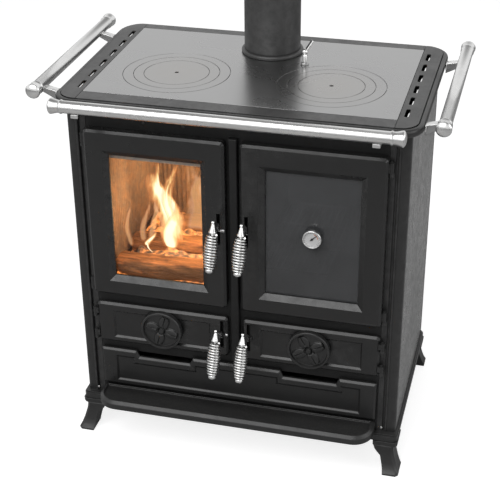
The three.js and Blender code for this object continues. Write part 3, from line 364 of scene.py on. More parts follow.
def flame(name, strength, cover, heart):
    """A tongue of flame: the colour `heart` at its middle, orange at its ragged edges."""
    d = finish(name, Base_Color=(0.0, 0.0, 0.0, 1.0), Specular_IOR_Level=0.0, Emission_Strength=strength)
    uv = d.node("ShaderNodeTexCoord").outputs["UV"]
    across, up, _ = d.node("ShaderNodeSeparateXYZ", {0: uv}).outputs
    place = d.place()
    lick = d.noise(d.stretched(place, (1.0, 1.0, 0.28)), 26.0, 3.0, 0.55, 1.2)
    edge = d.sum("ABSOLUTE", d.sum("MULTIPLY_ADD", across, 2.0, -1.0))
    ragged = d.sum("MULTIPLY_ADD", d.sum("SUBTRACT", lick, 0.5), 1.5, edge)
    body = d.span(ragged, 0.95, 0.30)
    rise = d.sum("MULTIPLY_ADD", d.sum("SUBTRACT", lick, 0.5), 0.9, up)
    fade = d.sum("MULTIPLY", d.span(rise, 1.0, 0.55), d.span(up, 0.0, 0.06))
    heat = d.sum("MULTIPLY", body, fade)
    ramp = d.node("ShaderNodeValToRGB", {0: heat})
    yellow = (1.0, 0.55 + 0.45 * (heart[1] - 0.55), 0.30)
    stops = [(0.0, (0.75, 0.20, 0.06)), (0.4, (1.0, 0.42, 0.14)), (0.7, yellow), (1.0, heart)]
    bar = ramp.color_ramp.elements
    while len(bar) < len(stops):
        bar.new(0.5)
    for mark, (at, colour) in zip(bar, stops):
        mark.position = at
        mark.color = (*colour, 1.0)
    d.join(ramp.outputs[0], d.shader.inputs["Emission Color"])
    d.join(d.span(heat, 0.02, 0.85, 0.0, cover), d.shader.inputs["Alpha"])
    return d.material


def glass_rope(name):
    """Pale knitted glass rope that seals a door."""
    d = finish(name, Specular_IOR_Level=0.2)
    place = d.place()
    sockets = {"Vector": place, "Scale": 130.0, "Distortion": 2.0}
    knit = d.node("ShaderNodeTexWave", sockets, bands_direction="DIAGONAL")
    soot = d.span(d.noise(place, 30.0, 4.0, 0.6), 0.4, 0.7)
    d.join(d.blend(soot, (0.42, 0.40, 0.36, 1.0), (0.14, 0.125, 0.11, 1.0)), d.shader.inputs["Base Color"])
    d.join(d.span(soot, 0.0, 1.0, 0.85, 0.95), d.shader.inputs["Roughness"])
    bump(d, knit.outputs["Fac"], 0.7, 0.0008)
    return d.material


def dial_face(name):
    """Pale dial with plain tick marks and a warm band, drawn by angle."""
    d = finish(name, Specular_IOR_Level=0.3, Roughness=0.45)
    centre = (DIAL["x"], 0.0, DIAL["z"])
    shift = d.node("ShaderNodeVectorMath", {0: d.place(), 1: centre}, operation="SUBTRACT")
    x, _, z = d.node("ShaderNodeSeparateXYZ", {0: shift.outputs[0]}).outputs
    radius = d.sum("SQRT", d.sum("ADD", d.sum("MULTIPLY", x, x), d.sum("MULTIPLY", z, z)))
    angle = d.sum("ARCTAN2", x, z)
    wave = d.sum("COSINE", d.sum("MULTIPLY", angle, 24.0))
    tick = d.sum("MULTIPLY", d.span(wave, 0.86, 0.93), d.span(radius, 0.0138, 0.0141))
    open_low = d.span(d.sum("ABSOLUTE", angle), 2.5, 2.45)
    mark = d.sum("MULTIPLY", tick, open_low)
    warm = d.sum("MULTIPLY", d.span(radius, 0.0115, 0.0118), d.span(radius, 0.0134, 0.0131))
    band = d.sum("MULTIPLY", warm, d.span(d.sum("ABSOLUTE", d.sum("SUBTRACT", angle, 0.9)), 0.62, 0.58))
    face = d.blend(d.noise(d.place(), 300.0), grey(0.55), grey(0.66))
    orange = d.blend(band, face, (0.55, 0.16, 0.04, 1.0))
    d.join(d.blend(mark, orange, grey(0.03)), d.shader.inputs["Base Color"])
    return d.material


IRON = painted_iron("satin black iron", 0.016, 0.40, 0.5, relief=0.2, dust=0.12)
# Painted shade: the front plate's iron is darker than the rest, standing for the shade in the recesses round
# the doors and drawer.
SHADED_FRONT_IRON = painted_iron("front plate iron, darkened as painted shade", 0.009, 0.55, 0.3, relief=0.15, dust=0.0)
IRON_SMOOTH = painted_iron("satin black iron, fine", 0.0105, 0.33, 0.5, grains=1500.0, relief=0.06, dust=0.04)
FRAME_PAINT = painted_iron("hob frame enamel", 0.024, 0.36, 0.5, grains=1400.0, relief=0.1, dust=0.05)
PANEL_PAINT = painted_iron("side panel enamel", 0.10, 0.34, 0.5, grains=2000.0, relief=0.05, dust=0.0)
FLUE_PAINT = painted_iron("flue paint", 0.035, 0.42, 0.5, grains=1800.0, relief=0.08, dust=0.0)
STEEL = ground_steel("ground steel plate", 0.0)
RING_STEEL = ground_steel("turned steel rings", 0.3)
NICKEL = bright_metal("nickel plate", (0.76, 0.76, 0.755), 0.24, (60.0, 1.0, 1.0), 0.03)
# The rail arms' webs get a darker, rougher copy of the nickel than the flanges.
DARKER_NICKEL_WEB = bright_metal("darker nickel web", (0.42, 0.42, 0.42), 0.34, (60.0, 1.0, 1.0), 0.03)
NICKEL_WIRE = bright_metal("nickel spring wire", (0.86, 0.86, 0.85), 0.26, (1.0, 1.0, 30.0), 0.02)
SCREW_STEEL = bright_metal("screw heads", (0.45, 0.45, 0.45), 0.28, (1.0, 30.0, 1.0))
SHIELD_STEEL = bright_metal("bright shield", (0.94, 0.94, 0.94), 0.10, (1.0, 1.0, 60.0), 0.02)
RACK_STEEL = bright_metal("rack wire", (0.55, 0.55, 0.55), 0.3, (30.0, 1.0, 1.0))
BURNT = burnt_iron("burnt lining", (0.17, 0.15, 0.125), 0.7)
# Painted light: a pale grey iron for the air-wash lip, standing for the light seen on that lip.
PAINTED_LIGHT_LIP_IRON = burnt_iron("lip iron, pale as painted light", (0.42, 0.45, 0.46), 0.1)
GRATE_IRON = burnt_iron("burnt grate", (0.04, 0.03, 0.025), 0.5)
SHEET = folded_sheet("folded sheet steel", 0.22, 0.42, 0.6)
OVEN_SHEET = folded_sheet("oven sheet steel", 0.10, 0.5, 0.3)
FIRE_GLASS = clear_glass("fire glass", (0.10, 0.095, 0.09), 0.06)
OVEN_GLASS = clear_glass("oven glass", (0.076, 0.078, 0.081), 0.76)
LOG_WOOD = charred_wood("charred logs")
EMBERS = ember_bed("embers")
FLAME = flame("flame", 1.5, 0.92, (1.0, 0.92, 0.66))
FAINT_FLAME = flame("faint flame", 1.25, 0.45, (1.0, 0.52, 0.22))
ROPE = glass_rope("glass rope")
DIAL_FACE = dial_face("dial face")

# ------------------------------------------------------------------ making pieces


def piece(name, points, faces, finish_used=None):
    mesh = bpy.data.meshes.new(name)
    mesh.from_pydata([tuple(p) for p in points], [], faces)
    mesh.validate()
    made = bpy.data.objects.new(name, mesh)
    bpy.context.scene.collection.objects.link(made)
    if finish_used:
        mesh.materials.append(finish_used)
    return made


def smoothed(obj, angle=34.0):
    obj.data.polygons.foreach_set("use_smooth", [True] * len(obj.data.polygons))
    obj.data.set_sharp_from_angle(angle=math.radians(angle))
    return obj


def levelled(obj):
    """Flat faces that lie level keep their own direction, so they mirror evenly."""
    for face in obj.data.polygons:
        if abs(face.normal.z) > 0.99999:
            face.use_smooth = False
    return obj


def settled(obj):
    """The object with its modifiers worked into a plain mesh."""
    graph = bpy.context.evaluated_depsgraph_get()
    mesh = bpy.data.meshes.new_from_object(obj.evaluated_get(graph))
    mesh.name = obj.name
    if obj.type == "CURVE":
        made = bpy.data.objects.new(obj.name, mesh)
        name = obj.name
        bpy.data.objects.remove(obj)
        bpy.context.scene.collection.objects.link(made)
        made.name = name
        return made
    obj.modifiers.clear()
    obj.data = mesh
    return obj


def merged(name, parts):
    """Several made objects as one, their places kept."""
    bm = bmesh.new()
    finishes = []
    for part in parts:
        base = len(bm.faces)
        bm.from_mesh(part.data)
        bm.faces.ensure_lookup_table()
        used = part.data.materials[0] if part.data.materials else None
        if used not in finishes:
            finishes.append(used)
        for face in bm.faces[base:]:
            face.material_index = finishes.index(used)
    mesh = bpy.data.meshes.new(name)
    bm.to_mesh(mesh)
    bm.free()
    for used in finishes:
        if used:
            mesh.materials.append(used)
    for part in parts:
        bpy.data.objects.remove(part)
    made = bpy.data.objects.new(name, mesh)
    bpy.context.scene.collection.objects.link(made)
    return made


def outward(obj):
    bm = bmesh.new()
    bm.from_mesh(obj.data)
    bmesh.ops.remove_doubles(bm, verts=bm.verts, dist=1e-6)
    bmesh.ops.recalc_face_normals(bm, faces=bm.faces)
    bm.to_mesh(obj.data)
    bm.free()
    return obj


def moved(obj, matrix):
    obj.data.transform(matrix)
    if matrix.determinant() < 0:
        obj.data.flip_normals()
    return obj


def eased(obj, width, steps=2, angle=31.0):
    """Rounds the edges that turn by more than `angle`."""
    rim = obj.modifiers.new("rim", "BEVEL")
    rim.width = width
    rim.segments = steps
    rim.limit_method = "ANGLE"
    rim.angle_limit = math.radians(angle)
    rim.use_clamp_overlap = True
    even = obj.modifiers.new("even", "WEIGHTED_NORMAL")
    even.keep_sharp = True
    even.weight = 60
    smoothed(obj, 60.0)
    return settled(obj)


def softened(node, finish_used, width=0.0012, steps=2, name=None):
    """A CAD node's shape with its edges rounded as a casting's are."""
    mesh = nodes[node].data.copy()
    mesh.materials.clear()
    bm = bmesh.new()
    bm.from_mesh(mesh)
    bmesh.ops.remove_doubles(bm, verts=bm.verts, dist=3e-6)
    bmesh.ops.dissolve_limit(bm, angle_limit=math.radians(0.5), verts=bm.verts, edges=bm.edges)
    for layer in list(bm.loops.layers.uv):
        bm.loops.layers.uv.remove(layer)
    bm.to_mesh(mesh)
    bm.free()
    made = bpy.data.objects.new(name or f"{node}_shaped", mesh)
    bpy.context.scene.collection.objects.link(made)
    mesh.materials.append(finish_used)
    return eased(made, width, steps)


def lathe(name, profile, steps=64, closed=False, finish_used=None):
    """Turned about Z from (radius, height) points; closed on itself it makes a ring."""
    points, rows = [], []
    for radius, height in profile:
        if radius < 1e-7:
            rows.append([len(points)] * steps)
            points.append((0.0, 0.0, height))
            continue
        rows.append(list(range(len(points), len(points) + steps)))
        for k in range(steps):
            a = 2 * math.pi * k / steps
            points.append((radius * math.cos(a), radius * math.sin(a), height))
    pairs = list(zip(rows, rows[1:]))
    if closed:
        pairs.append((rows[-1], rows[0]))
    faces = []
    for low, high in pairs:
        for k in range(steps):
            m = (k + 1) % steps
            corner = list(dict.fromkeys([low[k], low[m], high[m], high[k]]))
            if len(corner) > 2:
                faces.append(corner)
    return smoothed(outward(piece(name, points, faces, finish_used)), 40.0)


def rounded(points, radius, steps=3, closed=True):
    """A flat outline with each corner turned into a small arc."""
    made = []
    count = len(points)
    for i, here in enumerate(points):
        if not closed and i in (0, count - 1):
            made.append(tuple(here))
            continue
        here = Vector(here)
        back = Vector(points[i - 1]) - here
        ahead = Vector(points[(i + 1) % count]) - here
        reach = min(radius, back.length * 0.45, ahead.length * 0.45)
        if reach < 1e-6:
            made.append(tuple(here))
            continue
        a = here + back.normalized() * reach
        b = here + ahead.normalized() * reach
        for k in range(steps + 1):
            t = k / steps
            made.append(tuple(a * (1 - t) ** 2 + here * 2 * t * (1 - t) + b * t * t))
    return made


def flat_plate(name, outlines, z0, z1, rim, finish_used, curve_steps=1):
    """A flat plate through outlines (x, y), the later ones holes, with a rounded rim."""
    curve = bpy.data.curves.new(name, "CURVE")
    curve.dimensions = "2D"
    curve.fill_mode = "BOTH"
    curve.extrude = (z1 - z0) / 2 - rim
    curve.bevel_depth = rim
    curve.bevel_resolution = curve_steps
    curve.offset = -rim
    for outline in outlines:
        spline = curve.splines.new("POLY")
        spline.points.add(len(outline) - 1)
        for point, (x, y) in zip(spline.points, outline):
            point.co = (x, y, 0.0, 1.0)
        spline.use_cyclic_u = True
    made = bpy.data.objects.new(name, curve)
    bpy.context.scene.collection.objects.link(made)
    made = settled(made)
    made.data.materials.clear()
    made.data.materials.append(finish_used)
    moved(made, Matrix.Translation((0.0, 0.0, (z0 + z1) / 2)))
    return levelled(smoothed(outward(made), 50.0))


def ring_points(x, y, r, steps=96):
    turn = 2 * math.pi / steps
    return [(x + r * math.cos(turn * k), y + r * math.sin(turn * k)) for k in range(steps)]


def box_points(x0, x1, y0, y1, r, steps=6):
    """Rounded rectangle, anticlockwise."""
    centres = [(x1 - r, y0 + r, -90), (x1 - r, y1 - r, 0), (x0 + r, y1 - r, 90), (x0 + r, y0 + r, 180)]
    made = []
    for cx, cy, start in centres:
        for k in range(steps + 1):
            a = math.radians(start + 90 * k / steps)
            made.append((cx + r * math.cos(a), cy + r * math.sin(a)))
    return made


def bar(name, x0, x1, y0, y1, z0, z1, rim, finish_used):
    """A plain strip with rounded edges."""
    points = [(x, y, z) for z in (z0, z1) for y in (y0, y1) for x in (x0, x1)]
    faces = [(0, 2, 3, 1), (4, 5, 7, 6), (0, 1, 5, 4), (2, 6, 7, 3), (0, 4, 6, 2), (1, 3, 7, 5)]
    made = piece(name, points, faces, finish_used)
    return eased(made, rim, 3)


def dressed(obj, body, stands_for=()):
    """Puts a finished piece on its body."""
    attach(obj, body)
    if stands_for:
        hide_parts(*stands_for)
    return obj


def casting(node, finish_used, rim, steps, body="stove"):
    """A CAD node's own shape with rounded edges, in that node's place."""
    return dressed(softened(node, finish_used, rim, steps), body, [node])


# ------------------------------------------------------------------ repeated pieces

TREE = "GeometryNodeTree"
GEOMETRY = "NodeSocketGeometry"


def run_tree(name, tree, body_mesh, values):
    """Runs a geometry tree on a mesh and keeps the result as a plain mesh."""
    made = bpy.data.objects.new(name, body_mesh)
    bpy.context.scene.collection.objects.link(made)
    modifier = made.modifiers.new("make", "NODES")
    modifier.node_group = tree
    for item in tree.interface.items_tree:
        if item.in_out == "INPUT" and item.name in values:
            modifier[item.identifier] = values[item.name]
    return settled(made)


def round_tube(d, curve, radius, sides):
    """A tube of `sides` sides along a curve, closed at its ends; `radius` names an input."""
    section = d.node("GeometryNodeCurvePrimitiveCircle", {"Resolution": sides, "Radius": d.inputs[radius]})
    sockets = {"Curve": curve.outputs[0], "Profile Curve": section.outputs[0], "Fill Caps": True}
    return d.node("GeometryNodeCurveToMesh", sockets)


def finished_tree(d, last):
    """Ends a tree: instances made real, then the finish."""
    real = d.node("GeometryNodeRealizeInstances", {"Geometry": last.outputs[0]})
    sockets = {"Geometry": real.outputs[0], "Material": d.inputs["Finish"]}
    done = d.node("GeometryNodeSetMaterial", sockets)
    d.join(done.outputs[0], d.outputs["Geometry"])
    return d.tree


def spring_tree():
    """Round wire wound about Z, fuller at the middle of its length."""
    inputs = {"Start": 0.0, "Length": 0.07, "Turns": 10.0, "End radius": 0.006}
    inputs.update({"Middle radius": 0.01, "Wire radius": 0.002, "Finish": ""})
    d = group("wound spring", TREE, inputs, {"Geometry": GEOMETRY})
    sockets = {"Resolution": 28, "Rotations": d.inputs["Turns"], "Start Radius": 1.0}
    sockets.update({"End Radius": 1.0, "Height": d.inputs["Length"]})
    coil = d.node("GeometryNodeCurveSpiral", sockets)
    share = d.node("GeometryNodeSplineParameter").outputs["Factor"]
    swell = d.sum("POWER", d.sum("SINE", d.sum("MULTIPLY", share, math.pi)), 0.75)
    spread = d.sum("SUBTRACT", d.inputs["Middle radius"], d.inputs["End radius"])
    radius = d.sum("MULTIPLY_ADD", swell, spread, d.inputs["End radius"])
    x, y, z = d.node("ShaderNodeSeparateXYZ", {0: d.node("GeometryNodeInputPosition").outputs[0]}).outputs
    sockets = {0: d.sum("MULTIPLY", x, radius), 1: d.sum("MULTIPLY", y, radius)}
    sockets[2] = d.sum("ADD", z, d.inputs["Start"])
    where = d.node("ShaderNodeCombineXYZ", sockets)
    shaped = d.node("GeometryNodeSetPosition", {"Geometry": coil.outputs[0], "Position": where.outputs[0]})
    return finished_tree(d, round_tube(d, shaped, "Wire radius", 10))


def screw_tree():
    """A domed screw head on every point, facing along the point's own normal."""
    inputs = {"Head radius": 0.003, "Finish": ""}
    d = group("screw heads", TREE, inputs, {"Geometry": GEOMETRY})
    tree = d.tree
    tree.interface.new_socket(name="Points", in_out="INPUT", socket_type=GEOMETRY)
    tree.interface.move(tree.interface.items_tree["Points"], 0)
    d.inputs = tree.nodes["Group Input"].outputs
    dome = d.node("GeometryNodeMeshUVSphere", {"Segments": 14, "Rings": 8, "Radius": d.inputs["Head radius"]})
    flat = d.node("GeometryNodeTransform", {"Geometry": dome.outputs[0], "Scale": (1.0, 1.0, 0.42)})
    normal = d.node("GeometryNodeInputNamedAttribute", {"Name": "facing"}, data_type="FLOAT_VECTOR")
    turn = d.node("FunctionNodeAlignRotationToVector", {"Vector": normal.outputs[0]}, axis="Z")
    dots = d.node("GeometryNodeMeshToPoints", {"Mesh": d.inputs["Points"]})
    sockets = {"Points": dots.outputs[0], "Instance": flat.outputs[0], "Rotation": turn.outputs[0]}
    placed = d.node("GeometryNodeInstanceOnPoints", sockets)
    real = d.node("GeometryNodeRealizeInstances", {"Geometry": placed.outputs[0]})
    smooth = d.node("GeometryNodeSetShadeSmooth", {"Geometry": real.outputs[0]})
    done = d.node("GeometryNodeSetMaterial", {"Geometry": smooth.outputs[0], "Material": d.inputs["Finish"]})
    d.join(done.outputs[0], d.outputs["Geometry"])
    return tree


def rod_tree():
    """Round rods laid side by side: `Count` rods along X, one pitch apart along Y."""
    inputs = {"Count": 8, "Pitch": 0.02, "Length": 0.1, "Rod radius": 0.002, "Finish": ""}
    d = group("laid rods", TREE, inputs, {"Geometry": GEOMETRY})
    half = d.sum("MULTIPLY", d.inputs["Length"], 0.5)
    start = d.node("ShaderNodeCombineXYZ", {0: d.sum("MULTIPLY", half, -1.0)})
    end = d.node("ShaderNodeCombineXYZ", {0: half})
    line = d.node("GeometryNodeCurvePrimitiveLine", {"Start": start.outputs[0], "End": end.outputs[0]})
    rod = round_tube(d, line, "Rod radius", 12)
    pitch = d.node("ShaderNodeCombineXYZ", {1: d.inputs["Pitch"]})
    row = d.node("GeometryNodeMeshLine", {"Count": d.inputs["Count"], "Offset": pitch.outputs[0]})
    placed = d.node("GeometryNodeInstanceOnPoints", {"Points": row.outputs[0], "Instance": rod.outputs[0]})
    return finished_tree(d, placed)


SPRING_TREE = spring_tree()
SCREW_TREE = screw_tree()
ROD_TREE = rod_tree()


def screws(name, places, radius, body, finish_used=SCREW_STEEL):
    """Screw heads at (point, facing) places on one body."""
    mesh = bpy.data.meshes.new(name)
    mesh.from_pydata([p for p, _ in places], [], [])
    facing = mesh.attributes.new("facing", "FLOAT_VECTOR", "POINT")
    facing.data.foreach_set("vector", [c for _, normal in places for c in normal])
    values = {"Head radius": radius, "Finish": finish_used}
    made = run_tree(name, SCREW_TREE, mesh, values)
    return dressed(made, body)


# ------------------------------------------------------------------ base, feet, shell

for node in ("base_frame", "hearth_tray"):
    casting(node, IRON, 0.0012, 3)
# The front plate takes the darkened iron, painted shade for the recesses between doors and drawer.
casting("front_plate", SHADED_FRONT_IRON, 0.0012, 3)
casting("back_panel", IRON, 0.0012, 3)
for label, _ in SIDES:
    for end in ("front", "rear"):
        casting(f"foot_{end}_{label}", IRON, 0.0015, 3)
    casting(f"corner_post_{label}", IRON, 0.0008, 2)
    casting(f"side_panel_{label}", PANEL_PAINT, 0.0008, 2)
    casting(f"side_shield_{label}", SHIELD_STEEL, 0.0004, 1)

# ------------------------------------------------------------------ hob frame

# Section of the moulded edge as (distance outside the flat top, height), and the one at the
# rear, where the flat top runs on to the rounded edge. Both pass under the flat top.
MOULDING_FOOT = [(-0.016, 0.8343), (-0.008, 0.8343), (0.005, 0.840), (0.0095, 0.842), (0.0115, 0.846)]
MOULDING = [
    *MOULDING_FOOT, (0.0115, 0.8525), (0.010, 0.856), (0.007, 0.8578), (0.0012, 0.8583),
    (0.0008, 0.8568), (-0.0014, 0.8566), (-0.0024, 0.8560), (-0.004, 0.8555), (-0.016, 0.8555),
]
REAR_MOULDING = [
    *MOULDING_FOOT, (0.0115, 0.8535), (0.0113, 0.8570), (0.0103, 0.8588), (0.0088, 0.8594),
    (0.006, 0.8592), (0.003, 0.8590), (-0.0024, 0.8575), (-0.004, 0.8555), (-0.016, 0.8555),
]
FRAME_INSET = -0.0008
REAR_REACH = 0.0092
SIDE_SEAM = 0.3378
STRIP_HALF = 0.3371
STRIP_THICK = 0.0085


def hob_moulding(steps=12):
    """The moulded edge carried round the flat top, with a hairline seam by each side piece."""
    r = TOP["corner"]
    plain, rear = rounded(MOULDING, 0.0010, 3), rounded(REAR_MOULDING, 0.0010, 3)
    seams = [-SIDE_SEAM, -0.3375, -0.3370, -0.3367]
    stations = []
    for cx, cy, start in (
        (TOP["x"] - r, TOP["front"] + r, -90), (TOP["x"] - r, TOP["back"] - r, 0),
        (-TOP["x"] + r, TOP["back"] - r, 90), (-TOP["x"] + r, TOP["front"] + r, 180),
    ):
        for k in range(steps + 1):
            a = math.radians(start + 90 * k / steps)
            stations.append((cx, cy, math.cos(a), math.sin(a), 0.0))
        if start in (0, 180):
            way = 1 if start == 180 else -1
            across = [way * x for x in seams] + [-way * x for x in reversed(seams)]
            dips = [0.0, 0.0007, 0.0007, 0.0] * 2
            stations += [(x, cy, 0.0, float(-way), dip) for x, dip in zip(across, dips)]
    points = []
    for cx, cy, nx, ny, dip in stations:
        share = max(0.0, ny) ** 2
        for (out, z), (out_rear, z_rear) in zip(plain, rear):
            d = r - dip + out + (out_rear - out) * share
            points.append((cx + d * nx, cy + d * ny, z + (z_rear - z) * share - dip * 0.7))
    n = len(plain)
    faces = []
    for i in range(len(stations)):
        for j in range(n):
            a, b = i * n, ((i + 1) % len(stations)) * n
            k = (j + 1) % n
            faces.append((a + j, b + j, b + k, a + k))
    return smoothed(outward(piece("hob_moulding", points, faces, FRAME_PAINT)), 40.0)


def vent_outlines(side):
    made = []
    for i in range(SLOTS["count"]):
        x, y = side * SLOTS["x"], SLOTS["first"] + i * SLOTS["pitch"]
        w, l = SLOTS["width"] / 2, SLOTS["length"] / 2
        made.append(box_points(x - w, x + w, y - l, y + l, w * 0.98, 6))
    return made


def side_outline(side, inner=SIDE_SEAM):
    """Outline of a side piece of the flat top, rounded at its two outer corners."""
    r, rx = TOP["corner"], TOP["corner"] + FRAME_INSET
    made = [(side * inner, TOP["front"] - FRAME_INSET)]
    for cy, start, ry in ((TOP["front"] + r, -90, rx), (TOP["back"] - r, 0, r + REAR_REACH)):
        for k in range(13):
            a = math.radians(start + 90 * k / 12)
            made.append((side * (TOP["x"] - r + rx * math.cos(a)), cy + ry * math.sin(a)))
    made.append((side * inner, TOP["back"] + REAR_REACH))
    return made if side > 0 else made[::-1]


top_pieces = [hob_moulding()]
for label, side in SIDES:
    outlines = [side_outline(side), *vent_outlines(side)]
    top_pieces.append(flat_plate(f"top_{label}", outlines, HOB - 0.0022, HOB, 0.0003, FRAME_PAINT))
for label, y0, y1 in (
    ("front", TOP["front"] - FRAME_INSET, -0.1618),
    ("rear", 0.2526, TOP["back"] + REAR_REACH),
):
    strip = box_points(-STRIP_HALF, STRIP_HALF, y0, y1, 0.0004, 2)
    top_pieces.append(flat_plate(f"top_{label}", [strip], HOB - STRIP_THICK, HOB, 0.0004, FRAME_PAINT))
frame_nodes = [f"hob_frame_{p}" for p in ("left", "right", "front", "rear")]
dressed(merged("hob_frame", top_pieces), "stove", frame_nodes)

# A strip behind the top edge of the back panel closes the narrow gap under the hob.
rear_closer = bar("rear_closer", -0.3340, 0.3340, 0.2630, 0.2675, 0.8200, 0.8514, 0.0005, IRON)
dressed(rear_closer, "stove")


def slot_deflector(label, side):
    """Bright strip that leans under the slots' outer half and turns the warm air inward."""
    section = [(0.3531, 0.8556), (0.3645, 0.8574), (0.3645, 0.8569), (0.3531, 0.8551)]
    points = [(side * x, y, z) for y in (-0.150, 0.235) for x, z in section]
    faces = [(0, 1, 2, 3), (4, 7, 6, 5)] + [(i, (i + 1) % 4, 4 + (i + 1) % 4, 4 + i) for i in range(4)]
    made = piece(f"slot_deflector_{label}", points, faces, SHIELD_STEEL)
    return dressed(eased(outward(made), 0.0002, 1), "stove")


for label, side in SIDES:
    slot_deflector(label, side)

# ------------------------------------------------------------------ cooking plate and rings

plate_outline = box_points(-PLATE["x"], PLATE["x"], PLATE["front"], PLATE["back"], 0.002, 3)
plate_holes = [ring_points(s * BURNER["x"], BURNER["y"], RINGS[0], 128) for _, s in SIDES]
plate_holes.append(ring_points(0.0, FLUE["y"], FLUE["spigot"] + GAP, 72))
plate_holes.append(ring_points(DAMPER["x"], DAMPER["y"], 0.0046, 24))
plate_top = flat_plate("plate_top", [plate_outline, *plate_holes], HOB - STEP, HOB, 0.00025, STEEL)
low_holes = [ring_points(s * BURNER["x"], BURNER["y"], RINGS[0] - LEDGE, 128) for _, s in SIDES]
low_outlines = [plate_outline, *low_holes, *plate_holes[2:]]
plate_low = flat_plate("plate_low", low_outlines, HOB - PLATE["thick"], HOB - STEP, 0.0003, STEEL)
dressed(merged("steel_plate", [plate_top, plate_low]), "stove", ["cooking_plate"])


def hob_ring(name, outer, inner, side, node):
    """A lift-out ring, or where `inner` is None the middle disc with its hook socket."""
    low, mid = HOB - PLATE["thick"], HOB - STEP
    r = outer - RING_LINE
    stepped = [(r - LEDGE, low), (r - LEDGE, mid + GAP), (r, mid + GAP), (r, HOB)]
    if inner is None:
        section = [(HOOK_SOCKET, low), *stepped, (HOOK_SOCKET, HOB)]
    else:
        section = [(inner - LEDGE, low), *stepped, (inner, HOB), (inner, mid), (inner - LEDGE, mid)]
    made = lathe(name, rounded(section, 0.00025, 2), 128, True, RING_STEEL)
    levelled(moved(made, Matrix.Translation((side * BURNER["x"], BURNER["y"], 0.0))))
    return dressed(made, node, [node])


for label, side in SIDES:
    hob_ring(f"lift_ring_outer_{label}", RINGS[0], RINGS[1], side, f"outer_ring_{label}")
    hob_ring(f"lift_ring_middle_{label}", RINGS[1], RINGS[2], side, f"middle_ring_{label}")
    hob_ring(f"lift_disc_{label}", RINGS[2], None, side, f"hob_disc_{label}")

# ------------------------------------------------------------------ flue and damper

z = HOB + GAP
bead, spigot = FLUE["bead"], FLUE["spigot"]
collar_section = [
    (FLUE["bore"], HOB - 0.014), (spigot, HOB - 0.014), (spigot, z),
    (bead - 0.0005, z), (bead, z + 0.0025), (bead, z + 0.0055), (bead - 0.0018, z + 0.008),
    (bead - 0.005, z + 0.009), (spigot, z + 0.009), (spigot, z + 0.045), (FLUE["bore"], z + 0.045),
]
collar = lathe("collar_ring", rounded(collar_section, 0.001, 3), 96, True, FLUE_PAINT)
moved(collar, Matrix.Translation((0.0, FLUE["y"], 0.0)))
dressed(collar, "stove", ["flue_collar"])
inner, foot = spigot + GAP, z + 0.0093
pipe_section = [(inner, foot), (FLUE["pipe"], foot), (FLUE["pipe"], FLUE["top"]), (inner, FLUE["top"])]
pipe = lathe("stove_pipe", rounded(pipe_section, 0.0006, 2), 96, True, FLUE_PAINT)
moved(pipe, Matrix.Translation((0.0, FLUE["y"], 0.0)))
dressed(pipe, "stove", ["flue_pipe"])

casting("damper_bush", SCREW_STEEL, 0.0005, 2)


def damper_handle():
    """Spindle, ball and flat finger over the plate, and the flap under it."""
    top = DAMPER["ball"]
    shaft, shoulder, r = 0.004, 0.0056, 0.007
    section = [
        (0.0, HOB - 0.06), (shaft, HOB - 0.06), (shaft, HOB + 0.0085),
        (shoulder, HOB + 0.0095), (shoulder, top - 0.0088), (shaft, top - 0.0058),
    ]
    for degrees in range(-50, 90, 10):
        a = math.radians(degrees)
        section.append((r * math.cos(a), top + r * math.sin(a)))
    spindle = lathe("spindle", [*section, (0.0, top + r)], 28, False, NICKEL)
    finger = bar("finger", 0.0, 0.030, -0.0055, 0.0055, -0.0018, 0.0018, 0.0013, NICKEL)
    tilt = Matrix.Rotation(0.5, 4, "Z") @ Matrix.Rotation(-0.95, 4, "Y")
    moved(finger, Matrix.Translation((0.0, 0.0, top)) @ tilt)
    flap = bar("flap", -0.030, 0.030, -0.0015, 0.0015, HOB - 0.060, HOB - 0.020, 0.0006, SHEET)
    made = merged("damper_handle", [spindle, finger, flap])
    moved(made, Matrix.Translation((DAMPER["x"], DAMPER["y"], 0.0)))
    return dressed(made, "damper_lever", ["damper_lever"])


damper_handle()

# ------------------------------------------------------------------ fire side


def lining_walls(pitch=0.0115, deep=0.003):
    """Cast lining with upright flutes on three sides, open to the front."""
    x0, x1, back, wall = FIREBOX["x0"], FIREBOX["x1"], FIREBOX["back"], FIREBOX["wall"]
    front = -0.1717
    runs = [
        ((x0, front), (x0, back), (-1, 0)),
        ((x0, back), (x1, back), (0, 1)),
        ((x1, back), (x1, front), (1, 0)),
    ]
    inside = []
    for (ax, ay), (bx, by), (sx, sy) in runs:
        length = math.hypot(bx - ax, by - ay)
        count = round(length / pitch)
        for i in range(count * 6):
            t = i / (count * 6)
            push = deep * abs(math.sin(math.pi * t * count))
            inside.append((ax + (bx - ax) * t + sx * push, ay + (by - ay) * t + sy * push))
    inside.append((x1, front))
    outside = [(x1 + wall, front), (x1 + wall, back + wall), (x0 - wall, back + wall), (x0 - wall, front)]
    return flat_plate("fluted_lining", [inside + outside], FIREBOX["z0"], FIREBOX["z1"], 0.0004, BURNT)


dressed(lining_walls(), "stove", ["firebox_lining"])
casting("fire_grate", GRATE_IRON, 0.0015, 2)
for node in ("ash_box", "ash_pan"):
    casting(node, SHEET, 0.0006, 2)


